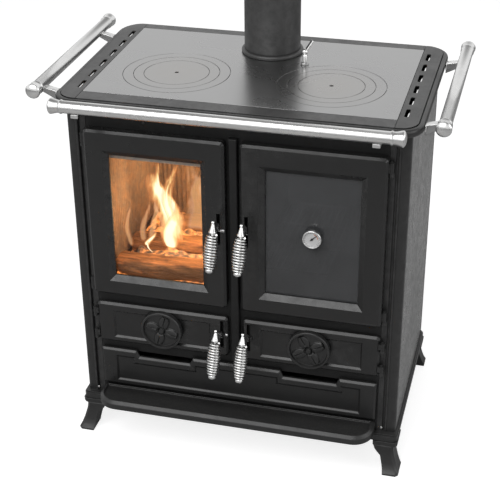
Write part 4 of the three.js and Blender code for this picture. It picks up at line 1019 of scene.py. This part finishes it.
def log(name, start, end, radius, seed):
    """A split log: a rough barrel with a flat split side and stepped ends."""
    rng = random.Random(seed)
    a, b = Vector(start), Vector(end)
    along = (b - a).normalized()
    side = along.cross(Vector((0, 0, 1))).normalized()
    up = side.cross(along)
    rows, around = 26, 30
    waves = [(rng.uniform(0, 6.28), rng.uniform(0.02, 0.07), n) for n in (1, 2, 3, 5, 9)]
    points, faces = [], []
    for i in range(rows + 1):
        t = i / rows
        end_round = min(1.0, (min(t, 1 - t) / 0.03) ** 0.5 if min(t, 1 - t) < 0.03 else 1.0)
        for k in range(around):
            angle = 2 * math.pi * k / around
            r = radius * (1 + sum(w * math.sin(n * angle + p + 2.5 * t * n) for p, w, n in waves))
            r *= 0.97 + 0.05 * math.sin(17 * t + seed) * math.sin(3 * angle)
            r *= 0.82 + 0.18 * end_round
            flat = min(r * math.sin(angle), radius * 0.62)
            points.append(a + (b - a) * t + side * (r * math.cos(angle)) + up * flat)
    for i in range(rows):
        for k in range(around):
            m = (k + 1) % around
            faces.append((i * around + k, i * around + m, (i + 1) * around + m, (i + 1) * around + k))
    faces.append(tuple(range(around - 1, -1, -1)))
    faces.append(tuple(range(rows * around, (rows + 1) * around)))
    return smoothed(outward(piece(name, points, faces, LOG_WOOD)), 50.0)


def coals():
    """A low uneven bed of coals on the grate."""
    across, deep = 60, 70
    rng = random.Random(5)
    spreads = ((-0.28, -0.07), (-0.13, 0.15), (0.006, 0.016))
    lumps = [[rng.uniform(*spread) for spread in spreads] for _ in range(130)]
    points = []
    for j in range(deep + 1):
        for i in range(across + 1):
            x = -0.292 + 0.238 * i / across
            y = -0.150 + 0.315 * j / deep
            edge = min(i, across - i, j, deep - j) / 6
            height = 0.012 * min(1.0, edge)
            for lx, ly, r in lumps:
                d = math.hypot(x - lx, y - ly)
                if d < r:
                    height = max(height, 0.010 + math.sqrt(r * r - d * d) * 0.9)
            points.append((x, y, 0.4112 + height * min(1.0, edge + 0.05)))
    made = piece("ember_bed", points, sheet_faces(across, deep), EMBERS)
    skirt = made.modifiers.new("depth", "SOLIDIFY")
    skirt.thickness = 0.002
    skirt.offset = -1
    return smoothed(settled(made), 70.0)


def sheet_faces(across, up):
    """Faces of a grid of points laid row by row."""
    row = across + 1
    corners = [(j * row + i, (j + 1) * row + i) for j in range(up) for i in range(across)]
    return [(low, low + 1, high + 1, high) for low, high in corners]


def flame_tongue(name, base, width, height, lean, turn, seed, used=FLAME):
    """One curled sheet of flame, its own map running up it."""
    rng = random.Random(seed)
    phase, wave = rng.uniform(0, 6.28), rng.uniform(0.7, 1.2)
    across, up = 14, 36
    points, uvs = [], []
    c, s = math.cos(turn), math.sin(turn)
    for j in range(up + 1):
        v = j / up
        half = width / 2 * (math.sin(math.pi * min(1.0, 0.22 + 0.78 * v)) ** 0.8 * 0.9 + 0.1) * (1 - 0.55 * v)
        sway = lean * v ** 1.4 + width * 0.22 * math.sin(wave * 7 * v + phase) * v
        for i in range(across + 1):
            u = i / across
            x = sway + half * (2 * u - 1)
            y = width * 0.28 * math.sin(math.pi * u + phase) * (1 - 0.4 * v) + 0.01 * math.sin(5 * v + phase)
            points.append((base[0] + c * x - s * y, base[1] + s * x + c * y, base[2] + height * v))
            uvs.append((u, v))
    made = piece(name, points, sheet_faces(across, up), used)
    layer = made.data.uv_layers.new(name="flame")
    for loop in made.data.loops:
        layer.data[loop.index].uv = uvs[loop.vertex_index]
    return smoothed(made, 180.0)


dressed(coals(), "stove")
# Each log is (start, end, radius, seed).
LOGS = [
    ((-0.292, -0.018, 0.427), (-0.054, -0.012, 0.429), 0.028, 3),
    ((-0.290, -0.130, 0.432), (-0.056, -0.124, 0.431), 0.029, 8),
    ((-0.255, 0.080, 0.432), (-0.090, 0.095, 0.436), 0.028, 13),
]
for number, (start, end, radius, seed) in enumerate(LOGS, 1):
    dressed(log(f"log_{number}", start, end, radius, seed), "stove")
# Each flame is (foot, width, height, lean, turn, seed).
FLAMES = [
    ((-0.200, -0.020, 0.438), 0.085, 0.215, -0.046, 0.05, 2),
    ((-0.192, -0.012, 0.438), 0.082, 0.220, 0.004, -0.1, 7),
    ((-0.192, -0.040, 0.436), 0.062, 0.120, 0.006, 0.2, 11),
    ((-0.246, -0.052, 0.442), 0.024, 0.042, 0.026, 0.0, 17),
    ((-0.236, -0.060, 0.422), 0.012, 0.052, -0.010, 0.0, 41),
]
FAINT_FLAMES = [
    ((-0.150, 0.010, 0.440), 0.100, 0.230, 0.012, 0.1, 31),
    ((-0.110, 0.020, 0.445), 0.090, 0.200, 0.004, 0.4, 23),
    ((-0.262, -0.030, 0.440), 0.024, 0.120, 0.014, 0.0, 29),
    ((-0.240, -0.036, 0.446), 0.022, 0.105, 0.012, 0.1, 37),
    ((-0.222, -0.026, 0.446), 0.026, 0.120, -0.012, 0.0, 43),
    ((-0.282, -0.075, 0.442), 0.026, 0.125, 0.002, 0.0, 47),
]
for number, values in enumerate(FLAMES, 1):
    dressed(flame_tongue(f"flame_{number}", *values), "stove")
for number, values in enumerate(FAINT_FLAMES, 1):
    dressed(flame_tongue(f"wisp_{number}", *values, FAINT_FLAME), "stove")

# Lip of the air-wash plate across the top of the fire door's opening, coloured pale grey as painted light.
lip_x0, lip_x1 = FIREBOX["x0"] + 0.002, FIREBOX["x1"] - 0.002
lip = bar("air_wash_lip", lip_x0, lip_x1, -0.1700, -0.1660, 0.7130, 0.7600, 0.0015, PAINTED_LIGHT_LIP_IRON)
dressed(lip, "stove")

# ------------------------------------------------------------------ oven side

casting("oven_box", OVEN_SHEET, 0.0006, 2)


def wire_rack():
    """Oven rack: a wire frame with bars laid front to back."""
    empty = bpy.data.meshes.new("rack")
    x0, x1 = OVEN["x0"] + 0.0075, OVEN["x1"] - 0.0075
    y0, y1 = RACK["front"] + 0.0025, RACK["back"] - 0.0025
    wide, deep, count = x1 - x0, y1 - y0, 20
    values = {"Count": count, "Pitch": wide / (count - 1), "Length": deep, "Rod radius": 0.0016}
    bars = run_tree("bars", ROD_TREE, empty, {**values, "Finish": RACK_STEEL})
    middle = Vector((x0, (y0 + y1) / 2, RACK["z"] + 0.0032))
    mirrored = Matrix.Scale(-1, 4, (0, 1, 0))
    moved(bars, Matrix.Translation(middle) @ Matrix.Rotation(math.pi / 2, 4, "Z") @ mirrored)
    values = {"Count": 4, "Pitch": deep / 3, "Length": wide, "Rod radius": 0.0024}
    cross = run_tree("cross", ROD_TREE, empty.copy(), {**values, "Finish": RACK_STEEL})
    moved(cross, Matrix.Translation(((x0 + x1) / 2, y0, RACK["z"] + 0.0025)))
    strip = bar("strip", x0, x1, y0 - 0.0012, y0 + 0.0012, RACK["z"], RACK["z"] + 0.0049, 0.0008, RACK_STEEL)
    return smoothed(outward(merged("wire_rack", [bars, cross, strip])), 50.0)


dressed(wire_rack(), "stove", ["oven_rack"])

# ------------------------------------------------------------------ doors


def rope_loop(name, x0, x1, z0, z1, y, r, side):
    """A seal rope laid round the back of a door."""
    path = box_points(x0, x1, z0, z1, 0.012, 5)
    around = 10
    points, faces = [], []
    count = len(path)
    for i, (x, zz) in enumerate(path):
        ahead = Vector(path[(i + 1) % count]) - Vector(path[i - 1])
        out = Vector((ahead.y, -ahead.x)).normalized()
        for k in range(around):
            a = 2 * math.pi * k / around
            reach = r * math.cos(a)
            points.append((side * (x + out.x * reach), y + r * math.sin(a), zz + out.y * reach))
    for i in range(count):
        for k in range(around):
            a, b, m = i * around, ((i + 1) % count) * around, (k + 1) % around
            faces.append((a + k, b + k, b + m, a + m))
    return smoothed(outward(piece(name, points, faces, ROPE)), 80.0)


for name, _, height in LEAVES:
    rim = 0.0014 if height == "upper" else 0.0012
    casting(f"{name}_door", IRON_SMOOTH, rim, 3, body=f"{name}_door")


def catch_pin(name, side, front, height):
    """Short round steel pin let into the door beside the handle's slot."""
    half, chamfer, r = 0.0050, 0.0008, 0.0042
    side_line = [(r - 0.0006, -half), (r, chamfer - half), (r, half - chamfer), (r - 0.0006, half)]
    pin = lathe(f"{name}_catch_pin", [(0.0, -half), *side_line, (0.0, half)], 28, False, SCREW_STEEL)
    place = Matrix.Translation((side * 0.0219, front + 0.0012, height))
    moved(pin, place @ Matrix.Rotation(math.pi / 2, 4, "Y"))
    return dressed(pin, f"{name}_door")


for name, side, height in LEAVES:
    catch_pin(name, side, LEAF_FRONT[height], HANDLE[height])
for name, side in (("firebox", -1), ("oven", 1)):
    seal = rope_loop(f"{name}_seal", 0.0415, 0.3085, 0.4065, 0.7700, -0.1805, 0.0032, side)
    dressed(seal, f"{name}_door")

for node, used in (("firebox_glass", FIRE_GLASS), ("oven_glass", OVEN_GLASS)):
    nodes[node].data.materials.clear()
    nodes[node].data.materials.append(used)


def rosette_height(r, a, limit):
    """Relief of an air wheel: raised rim, boss and four broad petals with a vein each."""
    step = lambda x, low, high: max(0.0, min(1.0, (x - low) / (high - low)))
    ease = lambda t: t * t * (3 - 2 * t)
    rim = ease(step(r, limit * 0.84, limit * 0.89)) * (1 - 0.35 * ease(step(r, limit * 0.965, limit)))
    boss = ease(1 - step(r, 0.0052, 0.0078))
    collar = ease(1 - step(abs(r - 0.0098), 0.0006, 0.0016)) * 0.45
    turn = (a / (math.pi / 2)) % 1.0
    off = abs(turn - 0.5) * (math.pi / 2) * r
    share = step(r, 0.009, limit * 0.86)
    half = 0.0135 * math.sin(math.pi * (0.12 + 0.80 * share)) ** 0.7
    petal = ease(1 - step(off, half - 0.0022, half)) * ease(step(r, 0.009, 0.012))
    petal *= 1 - ease(step(r, limit * 0.76, limit * 0.81))
    dome = 0.55 + 0.45 * math.cos(min(1.0, off / max(half, 1e-4)) * math.pi / 2)
    vein = 1 - 0.4 * ease(1 - step(off, 0.0002, 0.0011)) * step(r, 0.012, 0.018)
    return max(rim * 0.0069, boss * 0.0069, collar * 0.0056, petal * dome * vein * 0.0058)


def air_wheel(name, side, turn, node):
    """Cast rosette over the air holes, relief made point by point."""
    r_out, depth = WHEEL["r"], WHEEL["back"] - WHEEL["front"]
    rings, around = 46, 160
    floor = depth - 0.0070
    points = [(0.0, 0.0, floor + rosette_height(0.0, 0.0, r_out))]
    faces = []
    for i in range(1, rings + 1):
        r = (r_out - 0.0012) * i / rings
        for k in range(around):
            a = 2 * math.pi * k / around
            points.append((r * math.cos(a), r * math.sin(a), floor + rosette_height(r, a, r_out)))
    rows = [[1 + i * around + k for k in range(around)] for i in range(rings)]
    edge_and_stub = [(r_out - 0.0002, depth - 0.0026), (r_out, depth - 0.004), (r_out, 0.002)]
    edge_and_stub += [(r_out - 0.003, 0.0), (0.0042, 0.0), (0.0042, -0.014)]
    for radius, height in edge_and_stub:
        rows.append(list(range(len(points), len(points) + around)))
        points += [(x, y, height) for x, y in ring_points(0.0, 0.0, radius, around)]
    for k in range(around):
        faces.append((0, rows[0][k], rows[0][(k + 1) % around]))
    for low, high in zip(rows, rows[1:]):
        for k in range(around):
            m = (k + 1) % around
            faces.append((low[k], high[k], high[m], low[m]))
    faces.append(tuple(rows[-1]))
    made = smoothed(outward(piece(name, points, faces, IRON)), 38.0)
    where = Matrix.Translation((side * WHEEL["x"], WHEEL["back"], WHEEL["z"]))
    moved(made, where @ Matrix.Rotation(math.pi / 2, 4, "X") @ Matrix.Rotation(turn, 4, "Z"))
    return dressed(made, node, [node])


air_wheel("ash_rosette", -1, 0.5, "ash_air_wheel")
air_wheel("soot_rosette", 1, -0.28, "soot_air_wheel")

# ------------------------------------------------------------------ oven thermometer


def thermometer():
    """Chrome bezel round a pale dial, its stem through the glass."""
    r, depth = DIAL["r"], DIAL["back"] - DIAL["front"]
    inside = depth - 0.0042
    shell = [(0.0, -0.014), (0.0032, -0.014), (0.0032, 0.0), (r - 0.005, 0.0), (r, 0.003)]
    shell += [(r, depth - 0.0015), (r - 0.0012, depth), (r - 0.0028, depth - 0.0004)]
    shell += [(r - 0.0032, inside), (0.0, inside)]
    bezel = lathe("bezel", rounded(shell, 0.0006, 3, False), 56, False, NICKEL)
    disc = [(0.0, inside), (r - 0.0033, inside), (r - 0.0033, depth - 0.0039), (0.0, depth - 0.0039)]
    face = lathe("face", disc, 56, False, DIAL_FACE)
    made = merged("thermometer", [bezel, face])
    place = Matrix.Translation((DIAL["x"], DIAL["back"], DIAL["z"])) @ Matrix.Rotation(math.pi / 2, 4, "X")
    return dressed(moved(made, place), "oven_door", ["thermometer_case"])


thermometer()
casting("thermometer_needle", IRON_SMOOTH, 0.0002, 1, "thermometer_needle")

# ------------------------------------------------------------------ drawer

casting("drawer_front", IRON_SMOOTH, 0.0014, 3, body="drawer")
casting("drawer_box", SHEET, 0.0006, 2, "drawer")

# ------------------------------------------------------------------ spring-grip handles


GRIP_PLACE = Matrix.Translation((0.0, *BEND)) @ Matrix.Rotation(math.radians(180 - GRIP_TILT), 4, "X")


def lever(name):
    """Strap with its eye, teardrop neck, core and end knob, in the plane x = 0."""
    def strap(a, b, r0, r1):
        d = Vector(b) - Vector(a)
        side = math.atan2(d.y, d.x)
        outline = []
        for centre, r, start in ((a, r0, 90), (b, r1, -90)):
            for k in range(13):
                t = side + math.radians(start + 180 * k / 12)
                outline.append((centre[0] + r * math.cos(t), centre[1] + r * math.sin(t)))
        return outline

    half = 0.003
    arm = flat_plate("arm", [strap((0, 0), BEND, 0.0065, 0.0045)], -half, half, 0.0008, NICKEL, 2)
    tip = strap((0, 0), (0.009, -0.003), 0.0075, 0.004)
    hook = flat_plate("hook", [tip], -half, half, 0.0008, NICKEL, 2)
    across = Matrix(((0, 0, 1, 0), (1, 0, 0, 0), (0, 1, 0, 0), (0, 0, 0, 1)))
    for strip in (arm, hook):
        moved(strip, across)
    neck = [
        (0.0, 0.0), (0.0026, 0.0006), (0.0034, 0.003), (0.0050, 0.009), (0.0070, 0.0155),
        (0.0084, 0.0190), (0.0090, 0.0208), (0.0088, 0.0224), (0.003, 0.0230), (0.003, 0.1000),
        (0.0088, 0.1001), (0.0094, 0.1022), (0.0088, 0.1052), (0.0066, 0.1076), (0.0034, 0.1088),
        (0.0, 0.109),
    ]
    grip = lathe("grip", neck, 32, False, NICKEL)
    moved(grip, GRIP_PLACE)
    return merged(name, [arm, hook, grip])


def spring(name):
    values = {"Start": GRIP["start"] + GRIP["wire"] / 2, "Length": GRIP["end"] - GRIP["start"] - GRIP["wire"]}
    values.update({"Turns": GRIP["turns"], "End radius": GRIP["r_end"], "Middle radius": GRIP["r_mid"]})
    values.update({"Wire radius": GRIP["wire"] / 2, "Finish": NICKEL_WIRE})
    made = run_tree(name, SPRING_TREE, bpy.data.meshes.new(name), values)
    smoothed(outward(made), 60.0)
    return moved(made, GRIP_PLACE)


for name, side, height in LEAVES:
    where = Matrix.Translation((side * HANDLE["x"], HANDLE["y"], HANDLE[height]))
    body = f"{name}_handle"
    dressed(moved(lever(f"{name}_lever"), where), body, [f"{name}_handle_lever"])
    dressed(moved(spring(f"{name}_spring"), where), body, [f"{name}_spring_grip"])

# ------------------------------------------------------------------ rails


def rail_profile(r, bead, flare_end, end, flare):
    """Tube, bead and flared cap as (radius, distance) points, one end of a rail."""
    bulge = [(0.0, -0.0035), (0.0012, -0.0018), (0.0017, 0.0), (0.0012, 0.0018), (0.0, 0.0035)]
    made = [(r + out, bead + along) for out, along in bulge]
    reach = flare_end - bead - 0.0035
    for k in range(1, 8):
        t = k / 7
        made.append((r + (flare - r) * t * t * (3 - 2 * t) * (0.55 + 0.45 * t), bead + 0.0035 + reach * t))
    cap = end - flare_end
    dome = [(0.0, 0.12), (0.0008, 0.3), (0.003, 0.55), (0.0065, 0.8), (0.011, 0.95)]
    made += [(flare - fall, flare_end + share * cap) for fall, share in dome]
    return [*made, (0.0, end)]


def rail_tube(name, *sizes):
    half = rail_profile(*sizes)
    whole = [(r, -d) for r, d in reversed(half)] + half
    return lathe(name, whole, 48, False, NICKEL)


front_sizes = [FRONT_RAIL[size] for size in ("r", "bead", "flare_end", "end", "flare")]
front_tube = rail_tube("rail_front", *front_sizes)
turn_x = Matrix.Rotation(math.pi / 2, 4, "Y")
moved(front_tube, Matrix.Translation((0.0, FRONT_RAIL["y"], FRONT_RAIL["z"])) @ turn_x)
dressed(front_tube, "stove", ["front_rail"])
for label, _ in SIDES:
    casting(f"front_rail_bracket_{label}", NICKEL, 0.0009, 3)


def side_rail(label, side):
    s = SIDE_RAIL
    x, z = s["x"], s["z"]
    middle, reach = (s["front"] + s["back"]) / 2, (s["back"] - s["front"]) / 2
    tube = rail_tube("tube", s["r"], reach - 0.022, reach, reach + 0.008, s["flare"])
    moved(tube, Matrix.Translation((x, middle, z)) @ Matrix.Rotation(-math.pi / 2, 4, "X"))
    root = TOP["x"] + 0.0118
    parts = [tube]
    web = [(root, 0.830), (x, z - 0.013), (x, z - 0.002), (root, 0.855)]
    flange = [(root, 0.852), (x - 0.002, z - 0.004), (x - 0.002, z - 0.001), (root, 0.855)]
    for y in RAIL_ARMS:
        for outline, half, rim, used in ((web, 0.003, 0.001, DARKER_NICKEL_WEB), (flange, 0.009, 0.0007, NICKEL)):
            strip = flat_plate("strip", [rounded(outline, 0.0006, 1)], -half, half, rim, used, 2)
            moved(strip, Matrix.Translation((0.0, y, 0.0)) @ Matrix.Rotation(math.pi / 2, 4, "X"))
            parts.append(strip)
        parts.append(bar("foot", root, root + 0.003, y - 0.011, y + 0.011, 0.841, 0.8545, 0.001, NICKEL))
    made = merged(f"rail_{label}", parts)
    moved(made, Matrix.Scale(side, 4, (1, 0, 0)))
    return dressed(made, "stove", [f"side_rail_{label}"])


for label, side in SIDES:
    side_rail(label, side)
    places = [arm + shift for arm in RAIL_ARMS for shift in (-0.0075, 0.0075)]
    feet = [((side * 0.3970, y, 0.848), (side, 0, 0)) for y in places]
    screws(f"rail_screws_{label}", feet, 0.0026, "stove")

# ------------------------------------------------------------------ screws that show

top_band = [((x, -0.1773, 0.806), (0, -1, 0)) for x in (-0.198, -0.110)]
screws("band_screws", top_band, 0.0036, "stove", IRON)
screws("post_screws", [((s * 0.341, -0.1885, 0.1125), (0, -1, 0)) for s in (-1, 1)], 0.0032, "stove")
back_screws = [((s * 0.355, 0.2718, h), (0, 1, 0)) for s in (-1, 1) for h in (0.13, 0.35, 0.58, 0.80)]
screws("back_screws", back_screws, 0.0038, "stove")

# ------------------------------------------------------------------ floor, lights, camera


def stage_floor():
    """A pale level floor that keeps the stove's shadow and shows white to the camera."""
    made = piece("floor", [(-30, -30, 0), (30, -30, 0), (30, 30, 0), (-30, 30, 0)], [(0, 1, 2, 3)])
    d = finish("pale floor", Base_Color=(0.50, 0.50, 0.50, 1.0), Roughness=0.9, Specular_IOR_Level=0.1)
    light_path = d.node("ShaderNodeLightPath").outputs
    seen = d.sum("MAXIMUM", light_path["Is Camera Ray"], light_path["Is Transmission Ray"])
    strength = d.sum("MULTIPLY_ADD", seen, 0.80, d.sum("MULTIPLY", light_path["Is Glossy Ray"], 0.06))
    glow = d.node("ShaderNodeEmission", {"Color": WHITE, "Strength": strength})
    both = d.node("ShaderNodeAddShader", {0: d.shader.outputs[0], 1: glow.outputs[0]})
    d.join(both.outputs[0], d.output.inputs["Surface"])
    made.data.materials.append(d.material)


def studio_world():
    """Even white round about, as the camera and the metal see it, and a softer fill light."""
    world = bpy.data.worlds.new("studio")
    bpy.context.scene.world = world
    world.use_nodes = True
    world.node_tree.nodes.clear()
    d = Drawing(world.node_tree)
    light_path = d.node("ShaderNodeLightPath").outputs
    seen = d.sum("MAXIMUM", light_path["Is Camera Ray"], light_path["Is Transmission Ray"])
    direction = d.node("ShaderNodeTexCoord").outputs["Generated"]
    height = d.node("ShaderNodeSeparateXYZ", {0: direction}).outputs[2]
    horizon = d.span(height, 0.82, 0.55, 0.30, 1.0)
    mirror = d.sum("MULTIPLY", light_path["Is Glossy Ray"], horizon)
    strength = d.sum("MAXIMUM", d.sum("MAXIMUM", seen, mirror), 0.24)
    sky = d.node("ShaderNodeBackground", {"Color": WHITE, "Strength": strength})
    d.node("ShaderNodeOutputWorld", {"Surface": sky.outputs[0]})


def softbox(name, place, target, width, height, watts):
    lamp = bpy.data.lights.new(name, "AREA")
    lamp.shape = "RECTANGLE"
    lamp.size, lamp.size_y = width, height
    lamp.energy = watts
    made = bpy.data.objects.new(name, lamp)
    made.location = place
    made.rotation_mode = "QUATERNION"
    made.rotation_quaternion = (Vector(target) - Vector(place)).to_track_quat("-Z", "Y")
    bpy.context.scene.collection.objects.link(made)
    return made


def fire_glow():
    """Warm light of the fire on the lining, unseen in the nickel."""
    lamp = bpy.data.lights.new("fire glow", "POINT")
    lamp.energy = 3.4
    lamp.color = (1.0, 0.56, 0.27)
    lamp.shadow_soft_size = 0.05
    made = bpy.data.objects.new("fire glow", lamp)
    made.location = (-0.13, -0.05, 0.58)
    made.visible_glossy = False
    bpy.context.scene.collection.objects.link(made)


# Angles in degrees; the focal length and the photograph's width are in pixels.
VIEW = dict(yaw=14.575038, pitch=-29.147835, roll=-0.489195, focal=1258.972)
VIEW["place"] = (0.6358123, -2.4956723, 1.8654418)
PHOTO_SIZE = 500
SENSOR = 36.0


def photo_camera():
    """The photograph's own viewpoint: place, turn, tilt, roll and focal length."""
    yaw, pitch, roll = (math.radians(VIEW[turn]) for turn in ("yaw", "pitch", "roll"))
    forward = Vector((-math.sin(yaw) * math.cos(pitch), math.cos(yaw) * math.cos(pitch), math.sin(pitch)))
    right = Vector((math.cos(yaw), math.sin(yaw), 0.0))
    up = right.cross(forward)
    across = right * math.cos(roll) + up * math.sin(roll)
    over = up * math.cos(roll) - right * math.sin(roll)
    lens = bpy.data.cameras.new("photo camera")
    lens.sensor_width = SENSOR
    lens.lens = VIEW["focal"] / PHOTO_SIZE * SENSOR
    lens.clip_start, lens.clip_end = 0.05, 100.0
    made = bpy.data.objects.new("photo camera", lens)
    turned = Matrix((across, over, -forward)).transposed().to_4x4()
    made.matrix_world = Matrix.Translation(VIEW["place"]) @ turned
    bpy.context.scene.collection.objects.link(made)
    bpy.context.scene.camera = made


stage_floor()
studio_world()
softbox("key softbox", (-0.6, -2.2, 3.0), (0.0, 0.0, 0.5), 3.0, 2.6, 80.0)
softbox("right softbox", (2.6, -0.3, 1.6), (0.3, 0.0, 0.5), 1.6, 1.6, 14.0)
back_box = softbox("back softbox", (0.2, 2.6, 2.4), (0.0, 0.2, 0.8), 2.6, 1.2, 14.0)
back_box.visible_glossy = False
fire_glow()
photo_camera()
bpy.context.scene.view_settings.view_transform = "Standard"
